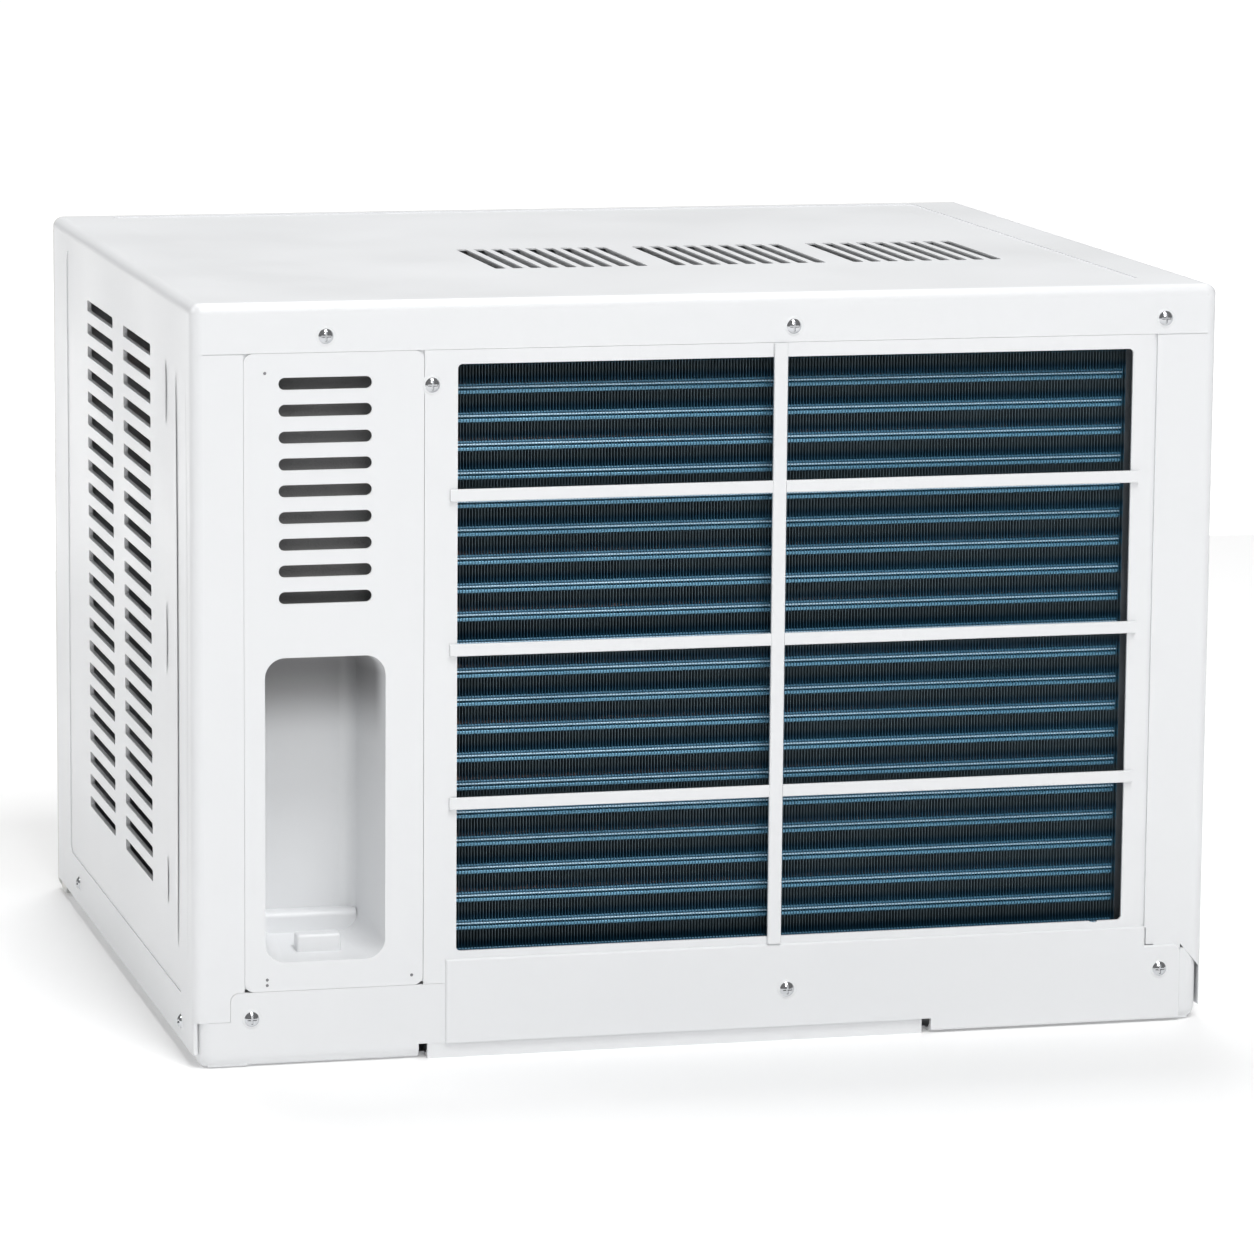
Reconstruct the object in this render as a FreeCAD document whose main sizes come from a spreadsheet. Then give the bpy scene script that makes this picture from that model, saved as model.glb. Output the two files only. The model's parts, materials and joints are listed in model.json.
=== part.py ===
"""Window air conditioner, an assembly of separate pieces.

Units are millimetres. +X runs along the rear face, +Y points outdoors, +Z points up.
The origin is the middle of the base pan's underside, the face that rests on the sill.
"""

import FreeCAD
import Part
import Sketcher

import math
import os
import re
from types import SimpleNamespace

Vector = FreeCAD.Vector
Rotation = FreeCAD.Rotation

# Driving dimensions: alias, value, meaning.
SIZES = [
    ("width", 470, "overall width of the case"),
    ("depth", 396, "overall depth, front face to rear face"),
    ("height", 340, "overall height"),
    ("gap", 0.3, "assembled gap between neighbouring pieces"),
    ("seam", 0.12, "gap at the seams between fixed rear sheets"),
    ("shaft_gap", 0.05, "radial running clearance of a pin in its hole"),
    ("reach", 20, "how far a cutting shape runs past the material"),
    # case
    ("case_gauge", 1.2, "sheet thickness of the case"),
    ("case_bend", 5, "outside bend radius of the case"),
    ("case_foot", 6.5, "lower edge of the case sides"),
    ("bezel_rim", 8, "depth of the plastic front ahead of the case"),
    ("band_low", 318, "lower edge of the case's rear band"),
    ("rear_left", 212, "rear opening's edge on the +X side"),
    ("rear_right", 206.5, "rear opening's edge on the -X side"),
    ("strip_foot", 21, "lower end of the case's +X rear strip"),
    ("slope_foot", 24.5, "lower end of the case's -X rear strip"),
    ("slope_long", 10, "length of the slope at the foot of the -X rear strip"),
    ("notch_top", 35, "top of the notches beside the rear opening"),
    ("groove_tall", 0.4, "height of the fine groove under the rear band"),
    ("groove_deep", 0.4, "depth of that groove"),
    ("notch_left", 218.5, "outer edge of the +X notch"),
    ("notch_right", 224, "outer edge of the -X notch"),
    ("press_depth", 0.5, "depth of the shallow pressed fields"),
    ("press_corner", 6, "corner radius of the pressed fields"),
    ("top_field_half", 207, "half width of the top's pressed field"),
    ("top_field_front", 186, "front end of the top's pressed field, ahead of the middle"),
    ("top_field_rear", 171, "rear end of the top's pressed field"),
    ("side_field_front", 150.6, "front end of the sides' pressed field, ahead of the middle"),
    ("side_field_rear", 170, "rear end of the sides' pressed field"),
    ("side_field_low", 28, "lower end of the sides' pressed field"),
    ("side_field_high", 328, "upper end of the sides' pressed field"),
    # side slots
    ("side_rows", 23, "slots in one column"),
    ("side_slot_long", 75, "length of a side slot"),
    ("side_slot_tall", 5.3, "height of a side slot"),
    ("side_slot_near", 15, "distance of a column from the middle"),
    ("side_slot_top", 307.3, "centre height of the topmost side slot"),
    ("side_slot_pitch", 11, "spacing of the side slots"),
    ("slot_corner", 1.4, "corner radius of the side and top slots"),
    ("slot_lip_deep", 1.3, "how far a slot's turned-in lip stands inside"),
    ("slot_lip_wide", 0.8, "thickness of a slot's turned-in lip"),
    # top slots
    ("top_rows", 9, "slots in one group"),
    ("top_slot_long", 85, "length of a top slot"),
    ("top_slot_wide", 5, "width of a top slot"),
    ("top_slot_pitch", 8.4, "spacing of the top slots"),
    ("top_slot_mid", 32.5, "middle of the top slots behind the middle of the case"),
    ("top_group_first", 35.5, "middle of the first group of top slots"),
    ("top_group_pitch", 85.5, "spacing of the groups"),
    ("louvre_plate", 0.8, "thickness of a top louvre blade"),
    ("louvre_deep", 6, "length of a top louvre blade"),
    ("louvre_tilt", 35, "tilt of a top louvre blade from upright, in degrees"),
    # base pan
    ("pan_inset", 2, "how far the pan stands inside the case sides"),
    ("pan_gauge", 1.5, "sheet thickness of the pan"),
    ("pan_front", 174, "front end of the pan, ahead of the middle"),
    ("pan_wall", 34, "height of the pan's walls"),
    ("pan_bend", 6, "bend radius at the pan's bottom edges"),
    ("pan_lip", 18, "height of the pan's front wall"),
    ("pan_lip_deep", 30, "length over which the pan's walls are low at the front"),
    ("pan_lap", 8, "overlap of the set-back wall behind the case's strips"),
    ("apron_left", 121.4, "end of the raised rear apron on the +X side"),
    ("apron_top", 45, "top of the rear apron"),
    ("apron_proud", 1.2, "how far the apron stands out of the rear face"),
    ("apron_round", 1.1, "rounding of the apron's edges"),
    ("apron_foot", 1.2, "lower edge of the apron above the sill"),
    ("tab_top", 36, "top of the apron's screw tab"),
    ("tab_round", 4, "corner radius of the screw tabs"),
    ("tick_wide", 0.8, "width of the open tick between the apron and the strip"),
    ("tick_long", 4.5, "length of that tick's foot"),
    ("tunnel_left", 131.4, "end of the raised stretch of the pan's rear foot, +X side"),
    ("tunnel_right", 102.7, "end of the raised stretch of the pan's rear foot, -X side"),
    ("tunnel_high", 7, "height of the raised stretch"),
    ("tunnel_deep", 0.4, "how far the strip under it is set back"),
    ("drain_notch", 4, "width of the two drain notches"),
    ("plinth_high", 10, "height of the pressed plinth under the compressor"),
    ("plinth_past", 16, "how far the plinth runs past the studs"),
    ("flange_top", 334, "top of the rear panels' flanges behind the band"),
    ("flange_lap", 4, "how far those flanges lap their panels"),
    ("flange_side", 10, "how far those flanges reach behind their neighbours"),
    ("flange_past", 12, "how far the guard's flange runs past the guard"),
    ("drain_r", 8, "radius of the drain port"),
    ("drain_wall", 2.5, "wall of the drain port's collar"),
    ("drain_high", 10, "height of the drain port's collar"),
    ("drain_x", 150, "drain port, distance from the middle towards -X"),
    ("drain_y", 112, "drain port, distance behind the middle"),
    ("bracket_x", 200, "sill bracket holes, distance from the middle"),
    ("bracket_front", 120, "front sill bracket holes, ahead of the middle"),
    ("bracket_rear", 110, "rear sill bracket holes, behind the middle"),
    ("bracket_r", 3.25, "radius of the sill bracket holes"),
    # rear panels
    ("panel_right", 131.5, "edge of the service panel beside the guard"),
    ("panel_foot", 34.12, "lower edge of the rear panels"),
    ("panel_corner", 4, "corner radius of the service panel"),
    ("vent_rows", 9, "slots in the service panel"),
    ("vent_top", 304.5, "centre height of the topmost panel slot"),
    ("vent_pitch", 11.8, "spacing of the panel slots"),
    ("vent_long", 41.5, "length of a panel slot"),
    ("vent_tall", 5.4, "height of a panel slot"),
    ("vent_mid", 175.7, "middle of the panel slots and the hand recess"),
    ("recess_wide", 54, "width of the hand recess"),
    ("recess_low", 47, "lower edge of the hand recess"),
    ("recess_high", 183.5, "upper edge of the hand recess"),
    ("recess_deep", 52, "depth of the hand recess"),
    ("recess_taper", 4, "how much each wall of the recess draws in"),
    ("recess_corner", 9, "corner radius of the recess"),
    ("recess_wall", 1.5, "wall of the recess"),
    ("recess_round", 7, "rounding where the recess's walls meet its back"),
    ("recess_ledge_high", 9, "height of the ledge at the foot of the recess's back"),
    ("recess_ledge_deep", 8, "depth of that ledge"),
    ("recess_ledge_round", 3, "rounding of that ledge"),
    ("recess_tab_wide", 20, "width of the raised tab on the recess floor"),
    ("recess_tab_high", 5, "height of that tab"),
    ("recess_tab_deep", 9, "depth of that tab"),
    ("recess_tab_in", 14, "distance of that tab inside the recess"),
    ("recess_tab_round", 1.5, "rounding of that tab"),
    ("baffle_in", 13, "distance of the rain baffle inside the panel"),
    ("baffle_past", 6, "how far the rain baffle runs past the slots"),
    # condenser guard
    ("guard_right", 205, "edge of the guard on the -X side"),
    ("guard_open_left", 116.5, "guard opening's edge on the +X side"),
    ("guard_open_right", 195, "guard opening's edge on the -X side"),
    ("guard_open_low", 48.5, "guard opening's lower edge"),
    ("guard_open_high", 311.5, "guard opening's upper edge"),
    ("guard_corner", 2, "corner radius of the guard opening"),
    ("nick_x", 182, "small nick in the opening's lower edge, towards -X"),
    ("nick_r", 3, "radius of that nick"),
    ("nick_deep", 0.8, "depth of that nick"),
    ("guard_post", 30, "middle of the upright bar, towards -X"),
    ("guard_bar", 6.3, "width of the upright bar"),
    ("guard_rail", 5.5, "height of the cross bars"),
    ("guard_rail_first", 253.5, "centre height of the top cross bar"),
    ("guard_rail_pitch", 69, "spacing of the cross bars"),
    ("guard_rail_past", 3.5, "how far the cross bars run past the opening"),
    ("guard_proud", 1.8, "how far the cross bars stand out"),
    # case screws
    ("screw_head_r", 3.6, "radius of a case screw's head"),
    ("screw_head_high", 1.8, "height of a case screw's head"),
    ("screw_r", 1.9, "radius of a case screw's shank"),
    ("screw_long", 9, "length of a case screw's shank"),
    ("screw_cross", 0.9, "width of the cross recess"),
    ("screw_cross_deep", 1.1, "depth of the cross recess"),
    ("screw_gap", 0.2, "radial clearance of a case screw"),
    # front
    ("bezel_wall", 3, "wall of the plastic front"),
    ("bezel_foot", 1, "lower edge of the plastic front"),
    ("bezel_round", 5, "rounding of the front's outer edges"),
    ("skirt_deep", 14, "how far the front's skirt reaches into the case"),
    ("skirt_wall", 2, "wall of the skirt"),
    ("intake_left", 218, "intake opening's edge on the -X side"),
    ("intake_right", 128, "intake opening's edge on the +X side"),
    ("intake_low", 28, "intake opening's lower edge"),
    ("intake_high", 224, "intake opening's upper edge"),
    ("outlet_low", 240, "outlet opening's lower edge"),
    ("outlet_high", 316, "outlet opening's upper edge"),
    ("grille_frame", 6, "width of the intake grille's frame"),
    ("grille_thick", 5, "thickness of the intake grille"),
    ("grille_rows", 19, "rows of slots in the intake grille"),
    ("grille_columns", 4, "columns of slots in the intake grille"),
    ("grille_bar", 3.2, "height of the bars between the rows"),
    ("grille_rib", 5, "width of the ribs between the columns"),
    ("desk_left", 142, "control desk's edge beside the intake"),
    ("desk_right", 224, "control desk's outer edge"),
    ("desk_low", 96, "control desk's lower edge"),
    ("desk_high", 318, "control desk's upper edge"),
    ("desk_deep", 9, "how far the control desk is sunk"),
    ("desk_corner", 6, "corner radius of the control desk"),
    # filter
    ("filter_y", 185, "middle plane of the air filter, ahead of the middle"),
    ("filter_thick", 4, "thickness of the filter frame"),
    ("filter_low", 26, "lower edge of the filter"),
    ("filter_high", 226, "upper edge of the filter"),
    ("filter_right", 131, "inner end of the filter"),
    ("filter_bar", 7, "width of the filter frame's bars"),
    ("filter_columns", 5, "panes across the filter"),
    ("filter_rows", 3, "panes up the filter"),
    ("filter_mesh", 0.8, "thickness of the filter's mesh"),
    ("filter_grip", 24, "width of the filter's solid grip end"),
    ("filter_gap", 0.6, "gap round the filter in its slot"),
    # outlet
    ("duct_wall", 2, "wall of the louvre frame"),
    ("duct_rear", 142, "rear end of the louvre frame, ahead of the middle"),
    ("blade_count", 4, "horizontal louvre blades"),
    ("blade_pitch", 18, "spacing of the louvre blades"),
    ("blade_y", 183, "pivot line of the blades, ahead of the middle"),
    ("blade_chord", 15, "width of a louvre blade"),
    ("blade_thick", 2, "thickness of a louvre blade"),
    ("pivot_r", 1.5, "radius of a blade's pivot"),
    ("link_back", 5.5, "distance of a blade's link pin behind its pivot"),
    ("link_in", 14, "distance of the blade link from the duct's -X wall"),
    ("link_pin_r", 1, "radius of a link pin"),
    ("link_width", 4, "width of a link bar"),
    ("link_notch", 3.7, "how far a link's notch reaches ahead of its pin"),
    ("link_play", 0.6, "side play of a link bar in its notches"),
    ("link_thick", 1.6, "thickness of a link bar"),
    ("vane_count", 5, "upright vanes"),
    ("vane_pitch", 66, "spacing of the vanes"),
    ("vane_y", 158, "pivot line of the vanes, ahead of the middle"),
    ("vane_chord", 24, "width of a vane"),
    ("vane_thick", 1.6, "thickness of a vane"),
    ("tie_back", 9, "distance of the tie bar's pins behind the vane pivots"),
    ("tie_high", 10, "height of the tie bar above the duct floor"),
    # controls
    ("knob_x", 183, "middle of the knobs"),
    ("mode_z", 166, "centre height of the mode knob"),
    ("warm_z", 256, "centre height of the thermostat knob"),
    ("knob_r", 21, "radius of a knob"),
    ("knob_skirt", 4, "thickness of a knob's skirt"),
    ("knob_high", 12, "height of a knob with its grip"),
    ("knob_grip", 9, "width of a knob's grip"),
    ("knob_shaft_r", 3, "radius of a switch shaft"),
    ("switch_wide", 36, "width of the mode switch"),
    ("switch_tall", 30, "height of the mode switch"),
    ("switch_deep", 26, "depth of the mode switch"),
    ("box_gauge", 1, "sheet thickness of the control box"),
    ("box_left", 143.5, "control box's side beside the coil"),
    ("box_right", 228, "control box's outer side"),
    ("box_low", 100, "bottom of the control box"),
    ("box_high", 312, "top of the control box"),
    ("capacitor_r", 20, "radius of the run capacitor"),
    ("capacitor_long", 62, "length of the run capacitor"),
    ("thermo_wide", 30, "width of the thermostat"),
    ("thermo_tall", 40, "height of the thermostat"),
    ("thermo_deep", 22, "depth of the thermostat"),
    ("shaft_in", 14, "length of a switch shaft inside its switch"),
    ("capacitor_y", 130, "run capacitor, ahead of the middle"),
    ("lever_z", 326, "height of the vent rod"),
    ("lever_r", 2, "radius of the vent rod"),
    ("lever_cap_r", 6, "radius of the vent rod's pull"),
    ("lever_cap", 5, "thickness of the vent rod's pull"),
    ("hook_r", 4, "radius of the collar behind the damper's arm"),
    ("hook_thick", 2, "thickness of that collar"),
    ("hook_play", 2, "play between the collar and the damper's arm"),
    ("arm_wide", 9, "width of the damper's arm"),
    ("arm_slot", 5.4, "width of the slot in the damper's arm"),
    ("arm_slot_low", 320, "lower end of the slot in the damper's arm"),
    ("arm_top", 334, "top of the damper's arm"),
    ("arm_room", 2, "gap round the arm in the bulkhead"),
    ("arm_swing", 24, "length of the notch for the arm in the plenum's roof"),
    ("ear_thick", 2, "thickness of the damper's hinge ears"),
    ("ear_round", 4, "half size of the damper's hinge ears"),
    ("gland_r", 4, "radius of the cord gland's bore"),
    ("gland_wall", 2.5, "wall of the cord gland"),
    ("gland_flange", 9.5, "radius of the cord gland's flange"),
    ("gland_x", 206, "cord gland, distance from the middle"),
    ("gland_z", 48, "height of the cord gland"),
    ("gland_long", 18, "length of the cord gland"),
    # bulkhead and air path
    ("wall_y", 97, "front face of the bulkhead, ahead of the middle"),
    ("wall_thick", 2, "thickness of the bulkhead"),
    ("wall_flange", 14, "depth of the bulkhead's foot flange"),
    ("shaft_hole_r", 14, "radius of the bulkhead's shaft hole"),
    ("vent_hole_x", 100, "middle of the vent hole"),
    ("vent_hole_z", 280, "centre height of the vent hole"),
    ("vent_hole_wide", 50, "width of the vent hole"),
    ("vent_hole_tall", 34, "height of the vent hole"),
    ("damper_lap", 4, "how far the damper laps the vent hole"),
    ("damper_thick", 1.5, "thickness of the vent damper"),
    ("damper_pin_r", 1.5, "radius of the damper's hinge pin"),
    ("pipe_pass_wide", 30, "width of the bulkhead's pipe opening"),
    ("pipe_pass_tall", 60, "height of the bulkhead's pipe opening"),
    ("pipe_pass_x", 140, "middle of the pipe opening"),
    ("pipe_pass_z", 70, "centre height of the pipe opening"),
    # fan set
    ("rotor_x", 39, "fan shaft, distance from the middle towards -X"),
    ("rotor_z", 165, "height of the fan shaft"),
    ("shaft_r", 4, "radius of the fan shaft"),
    ("shaft_front", 146, "front end of the shaft, ahead of the middle"),
    ("shaft_rear", 134, "rear end of the shaft"),
    ("motor_r", 46, "radius of the motor"),
    ("motor_front", 74, "front of the motor, ahead of the middle"),
    ("motor_rear", 2, "rear of the motor"),
    ("motor_neck_r", 17, "radius of the motor's bearing necks"),
    ("motor_neck", 9, "length of the motor's bearing necks"),
    ("motor_band", 2, "how far the motor's clamp flange stands out"),
    ("motor_bolt_r", 38, "radius of the motor's bolt circle"),
    ("motor_stud_r", 2.5, "radius of a motor stud"),
    ("motor_stud", 16, "length of a motor stud"),
    ("motor_boss_r", 6, "radius of the motor's mounting bosses"),
    ("motor_round", 8, "rounding of the motor's ends"),
    ("bracket_hole_r", 20, "radius of the motor bracket's middle hole"),
    ("hole_gap", 0.2, "radial clearance of a stud in its hole"),
    ("thread_gap", 0.05, "radial gap drawn between a thread and its nut"),
    ("bracket_y", 6, "front face of the motor bracket"),
    ("bracket_gauge", 2.5, "sheet thickness of the motor bracket"),
    ("bracket_half", 58, "half width of the motor bracket"),
    ("bracket_top", 218, "top of the motor bracket"),
    ("bracket_foot", 46, "depth of the motor bracket's foot"),
    ("bracket_rib", 20, "depth of the motor bracket's side ribs"),
    ("nut_r", 4.6, "corner radius of a motor nut"),
    ("nut_high", 4, "height of a motor nut"),
    ("fan_r", 124, "radius of the condenser fan's blades"),
    ("fan_ring", 3, "thickness of the slinger ring"),
    ("fan_ring_wide", 14, "width of the slinger ring"),
    ("fan_hub_r", 34, "radius of the fan's hub"),
    ("fan_front", 98, "front of the fan's hub"),
    ("fan_rear", 128, "rear of the fan's hub"),
    ("fan_blades", 5, "blades on the condenser fan"),
    ("fan_chord_root", 40, "blade width at the hub"),
    ("fan_chord_tip", 74, "blade width at the tip"),
    ("fan_pitch_root", 38, "blade angle at the hub, in degrees"),
    ("fan_pitch_tip", 20, "blade angle at the tip, in degrees"),
    ("fan_plate", 2.2, "blade thickness"),
    ("wheel_r", 72, "radius of the blower wheel"),
    ("wheel_eye", 55, "inner radius of the blower wheel's blades"),
    ("wheel_front", 143, "front of the blower wheel, ahead of the middle"),
    ("wheel_rear", 103, "rear of the blower wheel, ahead of the middle"),
    ("wheel_plate", 2, "thickness of the wheel's back plate"),
    ("wheel_hub_r", 12, "radius of the wheel's hub"),
    ("wheel_blades", 36, "blades on the blower wheel"),
    ("wheel_blade_thick", 1.4, "thickness of a blower blade"),
    ("wheel_blade_tilt", 28, "forward lean of a blower blade, in degrees"),
    ("scroll_front", 150, "front face of the blower scroll, ahead of the middle"),
    ("scroll_wall", 5, "wall of the foam blower scroll"),
    ("scroll_start", 50, "angle of the scroll's cut-off above the horizontal, in degrees"),
    ("scroll_near", 80, "smallest radius of the scroll"),
    ("scroll_grow", 4.2, "growth of the scroll's radius per radian"),
    ("scroll_eye", 62, "radius of the scroll's inlet"),
    ("scroll_low", 44, "lower edge of the scroll's front plate"),
    ("scroll_half", 150, "half width of the scroll's front plate"),
    # coils
    ("tube_r", 3.5, "radius of a coil tube"),
    ("tube_pitch", 25.4, "spacing of the tubes in one row"),
    ("fin_thick", 1.5, "thickness of a coil's end plate"),
    ("coil_gap", 0.05, "radial gap between tube and fin pack"),
    ("cond_front", 152, "front face of the condenser"),
    ("cond_rear", 188, "rear face of the condenser"),
    ("cond_left", 116, "condenser's fins, +X end"),
    ("cond_right", 195, "condenser's fins, -X end"),
    ("cond_low", 44, "bottom of the condenser"),
    ("cond_high", 314, "top of the condenser"),
    ("cond_flange", 13, "width of the outward flanges on the condenser's end plates"),
    ("cond_tubes", 10, "tubes in one row of the condenser"),
    ("evap_front", 179, "front face of the evaporator, ahead of the middle"),
    ("evap_rear", 153, "rear face of the evaporator, ahead of the middle"),
    ("evap_left", 212, "evaporator's fins, -X end"),
    ("evap_right", 112, "evaporator's fins, +X end"),
    ("evap_low", 30, "bottom of the evaporator"),
    ("evap_high", 226, "top of the evaporator"),
    ("evap_tubes", 7, "tubes in one row of the evaporator"),
    ("tray_wall", 2, "wall of the drip tray"),
    ("tray_high", 25, "height of the drip tray's rim"),
    ("tray_past", 8, "how far the drip tray runs past the fins"),
    ("tube_stub", 2, "length of straight tube outside an end plate"),
    ("tube_port", 3, "length of a coil's open end beyond that"),
    ("plate_past", 2, "how far an end plate rises over the fins"),
    ("shroud_gauge", 1.5, "thickness of the fan shroud"),
    ("shroud_front", 134, "front face of the fan shroud"),
    ("shroud_gap", 5, "gap between the fan's ring and the shroud's mouth"),
    ("shroud_mouth", 22, "length of the shroud's mouth"),
    # compressor
    ("comp_x", 178, "compressor, distance from the middle"),
    ("comp_y", 38, "compressor, distance behind the middle"),
    ("comp_r", 47, "radius of the compressor's shell"),
    ("comp_high", 205, "top of the compressor's shell"),
    ("comp_dome", 16, "rounding of the compressor's ends"),
    ("comp_seam", 1.5, "how far the weld seam stands out"),
    ("foot_ring", 54, "distance of the compressor's feet from its axis"),
    ("foot_z", 24, "underside of the compressor's foot plate"),
    ("foot_thick", 3, "thickness of the foot plate"),
    ("foot_arm", 26, "width of a foot"),
    ("foot_stud_r", 3, "radius of the studs in the pan"),
    ("foot_stud_top", 40, "top of the studs"),
    ("grommet_r", 10, "radius of a rubber grommet"),
    ("grommet_neck", 7.5, "radius of a grommet's neck"),
    ("grommet_gap", 0.2, "gap between grommet and stud"),
    ("grommet_cap", 4, "thickness of a grommet's upper flange"),
    ("comp_nut_r", 5.5, "corner radius of a compressor nut"),
    ("comp_nut", 4.5, "height of a compressor nut"),
    ("seam_z", 112, "height of the compressor's weld seam"),
    ("seam_high", 8, "height of the weld seam's lap"),
    ("port_out", 20, "distance of the discharge port from the compressor's axis"),
    ("port_r", 5, "radius of a pipe port"),
    ("port_long", 10, "length of a pipe port"),
    ("suction_z", 52, "height of the compressor's suction port"),
    ("cover_in", 12, "distance of the terminal cover from the compressor's axis"),
    ("cover_r", 16, "radius of the terminal cover"),
    ("cover_high", 22, "height of the terminal cover"),
    ("acc_x", 152, "accumulator, distance from the middle"),
    ("acc_y", 40, "accumulator, ahead of the middle"),
    ("acc_r", 21, "radius of the accumulator"),
    ("acc_low", 70, "bottom of the accumulator"),
    ("acc_high", 180, "top of the accumulator"),
    ("pipe_r", 4, "radius of the refrigerant pipes"),
    ("pipe_bend", 14, "bend radius of the refrigerant pipes"),
    ("cap_r", 1.4, "radius of the capillary tube"),
    ("cap_bend", 12, "bend radius of the capillary tube"),
    ("cap_half", 15, "half width of the capillary's coil"),
    ("cap_turns", 3, "turns of the capillary's coil"),
    ("cap_rise", 1.5, "rise of the capillary's coil in a quarter turn"),
    ("cap_z", 232, "height of the capillary's coil"),
    ("cap_x", 146, "line of the capillary towards the evaporator"),
    ("riser_x", 134, "line of the suction riser"),
    ("riser_y", 78, "suction riser behind the bulkhead, ahead of the middle"),
    ("riser_z", 215, "height of the suction pipe's upper bend"),
    ("pass_z", 58, "height of the suction pipe through the bulkhead"),
    ("cap_pass_z", 82, "height of the capillary through the bulkhead"),
    ("drier_r", 9, "radius of the filter drier"),
    ("drier_long", 70, "length of the filter drier"),
    ("drier_x", 138, "filter drier, distance from the middle"),
    ("drier_y", 112, "filter drier, behind the middle"),
    ("drier_low", 88, "lower end of the filter drier"),
]
NAMES = {alias for alias, value, note in SIZES}

# Places that many pieces share, as formulas of the sizes.
LEFT, RIGHT = "(width/2)", "(-width/2)"
REAR, FRONT = "(depth/2)", "(-depth/2)"
SHEET_REAR = "(depth/2 - case_gauge)"
CASE_FRONT = "(bezel_rim - depth/2)"
INNER = "(width/2 - case_gauge)"
AXES = "xyz"
TURNS = {
    "x": Rotation(Vector(0, 1, 0), 90),
    "y": Rotation(Vector(1, 0, 0), -90),
    "z": Rotation(),
}

doc = FreeCAD.newDocument("window_air_conditioner")


def fill_sheet():
    """Writes the driving dimensions into the document's spreadsheet."""
    sheet = doc.addObject("Spreadsheet::Sheet", "sizes")
    for row, (alias, value, note) in enumerate(SIZES, 1):
        sheet.set(f"A{row}", note)
        sheet.set(f"B{row}", str(value))
        sheet.setAlias(f"B{row}", alias)
    doc.recompute()
    return SimpleNamespace(**{alias: float(sheet.get(alias)) for alias in NAMES})


size = fill_sheet()


# ---------------------------------------------------------------- helpers
def formula(text):
    """Turns the size names in a formula into references to the sheet's cells."""
    return re.sub(r"[a-z_]+", lambda word: ("sizes." if word[0] in NAMES else "") + word[0], str(text))


def bind(thing, prop, text):
    thing.setExpression(prop, formula(text))


def move(thing, place):
    for axis, text in zip(AXES, place):
        bind(thing, "Placement.Base." + axis, text)


def block(name, x, y, z):
    """A box from three spans, each (low, high)."""
    made = doc.addObject("Part::Box", name)
    for prop, (low, high) in zip(("Length", "Width", "Height"), (x, y, z)):
        bind(made, prop, f"({high}) - ({low})")
    move(made, (x[0], y[0], z[0]))
    return made


def rod(name, axis, centre, span, radius):
    """A cylinder along an axis; centre gives the other two coordinates in X, Y, Z order."""
    made = doc.addObject("Part::Cylinder", name)
    made.Placement.Rotation = TURNS[axis]
    bind(made, "Radius", radius)
    bind(made, "Height", f"({span[1]}) - ({span[0]})")
    place = list(centre)
    place.insert(AXES.index(axis), span[0])
    move(made, place)
    return made


def hexagon(name, axis, centre, span, radius):
    """A six-sided prism along an axis."""
    made = doc.addObject("Part::Prism", name)
    made.Placement.Rotation = TURNS[axis]
    made.Polygon = 6
    bind(made, "Circumradius", radius)
    bind(made, "Height", f"({span[1]}) - ({span[0]})")
    place = list(centre)
    place.insert(AXES.index(axis), span[0])
    move(made, place)
    return made


def fuse(name, *parts):
    made = doc.addObject("Part::MultiFuse", name)
    made.Shapes = list(parts)
    made.Refine = True
    return made


def group(name, *parts):
    """Separate solids under one name."""
    made = doc.addObject("Part::Compound", name)
    made.Links = list(parts)
    return made


def in_cells(name, body, cells):
    """One moulding as simple solids that meet face to face, so that collision follows its openings."""
    solids = []
    for n, (x, z) in enumerate(cells):
        solid = doc.addObject("Part::Common", f"{name}_solid_{n}")
        solid.Base = body
        solid.Tool = block(f"{name}_cell_{n}", x, ("-depth", "depth"), z)
        solids.append(solid)
    return group(name, *solids)


def cut(name, base, *tools):
    made = doc.addObject("Part::Cut", name)
    made.Base = base
    made.Tool = tools[0] if len(tools) == 1 else fuse(name + "_tools", *tools)
    made.Refine = True
    return made


def soften(name, base, radius, chosen):
    """Rounds the base's edges for which chosen(edge) is true."""
    doc.recompute()
    made = doc.addObject("Part::Fillet", name)
    made.Base = base
    numbers = [n for n, edge in enumerate(base.Shape.Edges, 1) if chosen(edge)]
    made.Edges = [(n, radius, radius) for n in numbers]
    return made


def solid_of(name, shape):
    """A piece whose shape is built by Part's own functions from the sheet's sizes."""
    made = doc.addObject("Part::Feature", name)
    made.Shape = shape
    return made


def runs_along(edge, axis):
    """Whether a straight edge is parallel to an axis."""
    if not isinstance(edge.Curve, Part.Line):
        return False
    return abs(abs(edge.Curve.Direction[AXES.index(axis)]) - 1) < 1e-6


def lies_at(edge, **places):
    """Whether an edge's middle has the given coordinates."""
    middle = edge.CenterOfMass
    return all(abs(middle[AXES.index(axis)] - value) < 0.01 for axis, value in places.items())


def rounded_prism(x, y, z, axis, radius):
    """A box given by numbers, with the four edges along one axis rounded."""
    spans = (x, y, z)
    lengths = [high - low for low, high in spans]
    shape = Part.makeBox(*lengths, Vector(*[low for low, high in spans]))
    return shape.makeFillet(radius, [edge for edge in shape.Edges if runs_along(edge, axis)])


def copies(shape, places):
    """Copies of a shape, one at each offset."""
    return [shape.translated(Vector(*place)) for place in places]


def steps(count, pitch, first=0.0):
    return [first + pitch * n for n in range(int(count))]


def mirrored(text):
    return f"-({text})"


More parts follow.
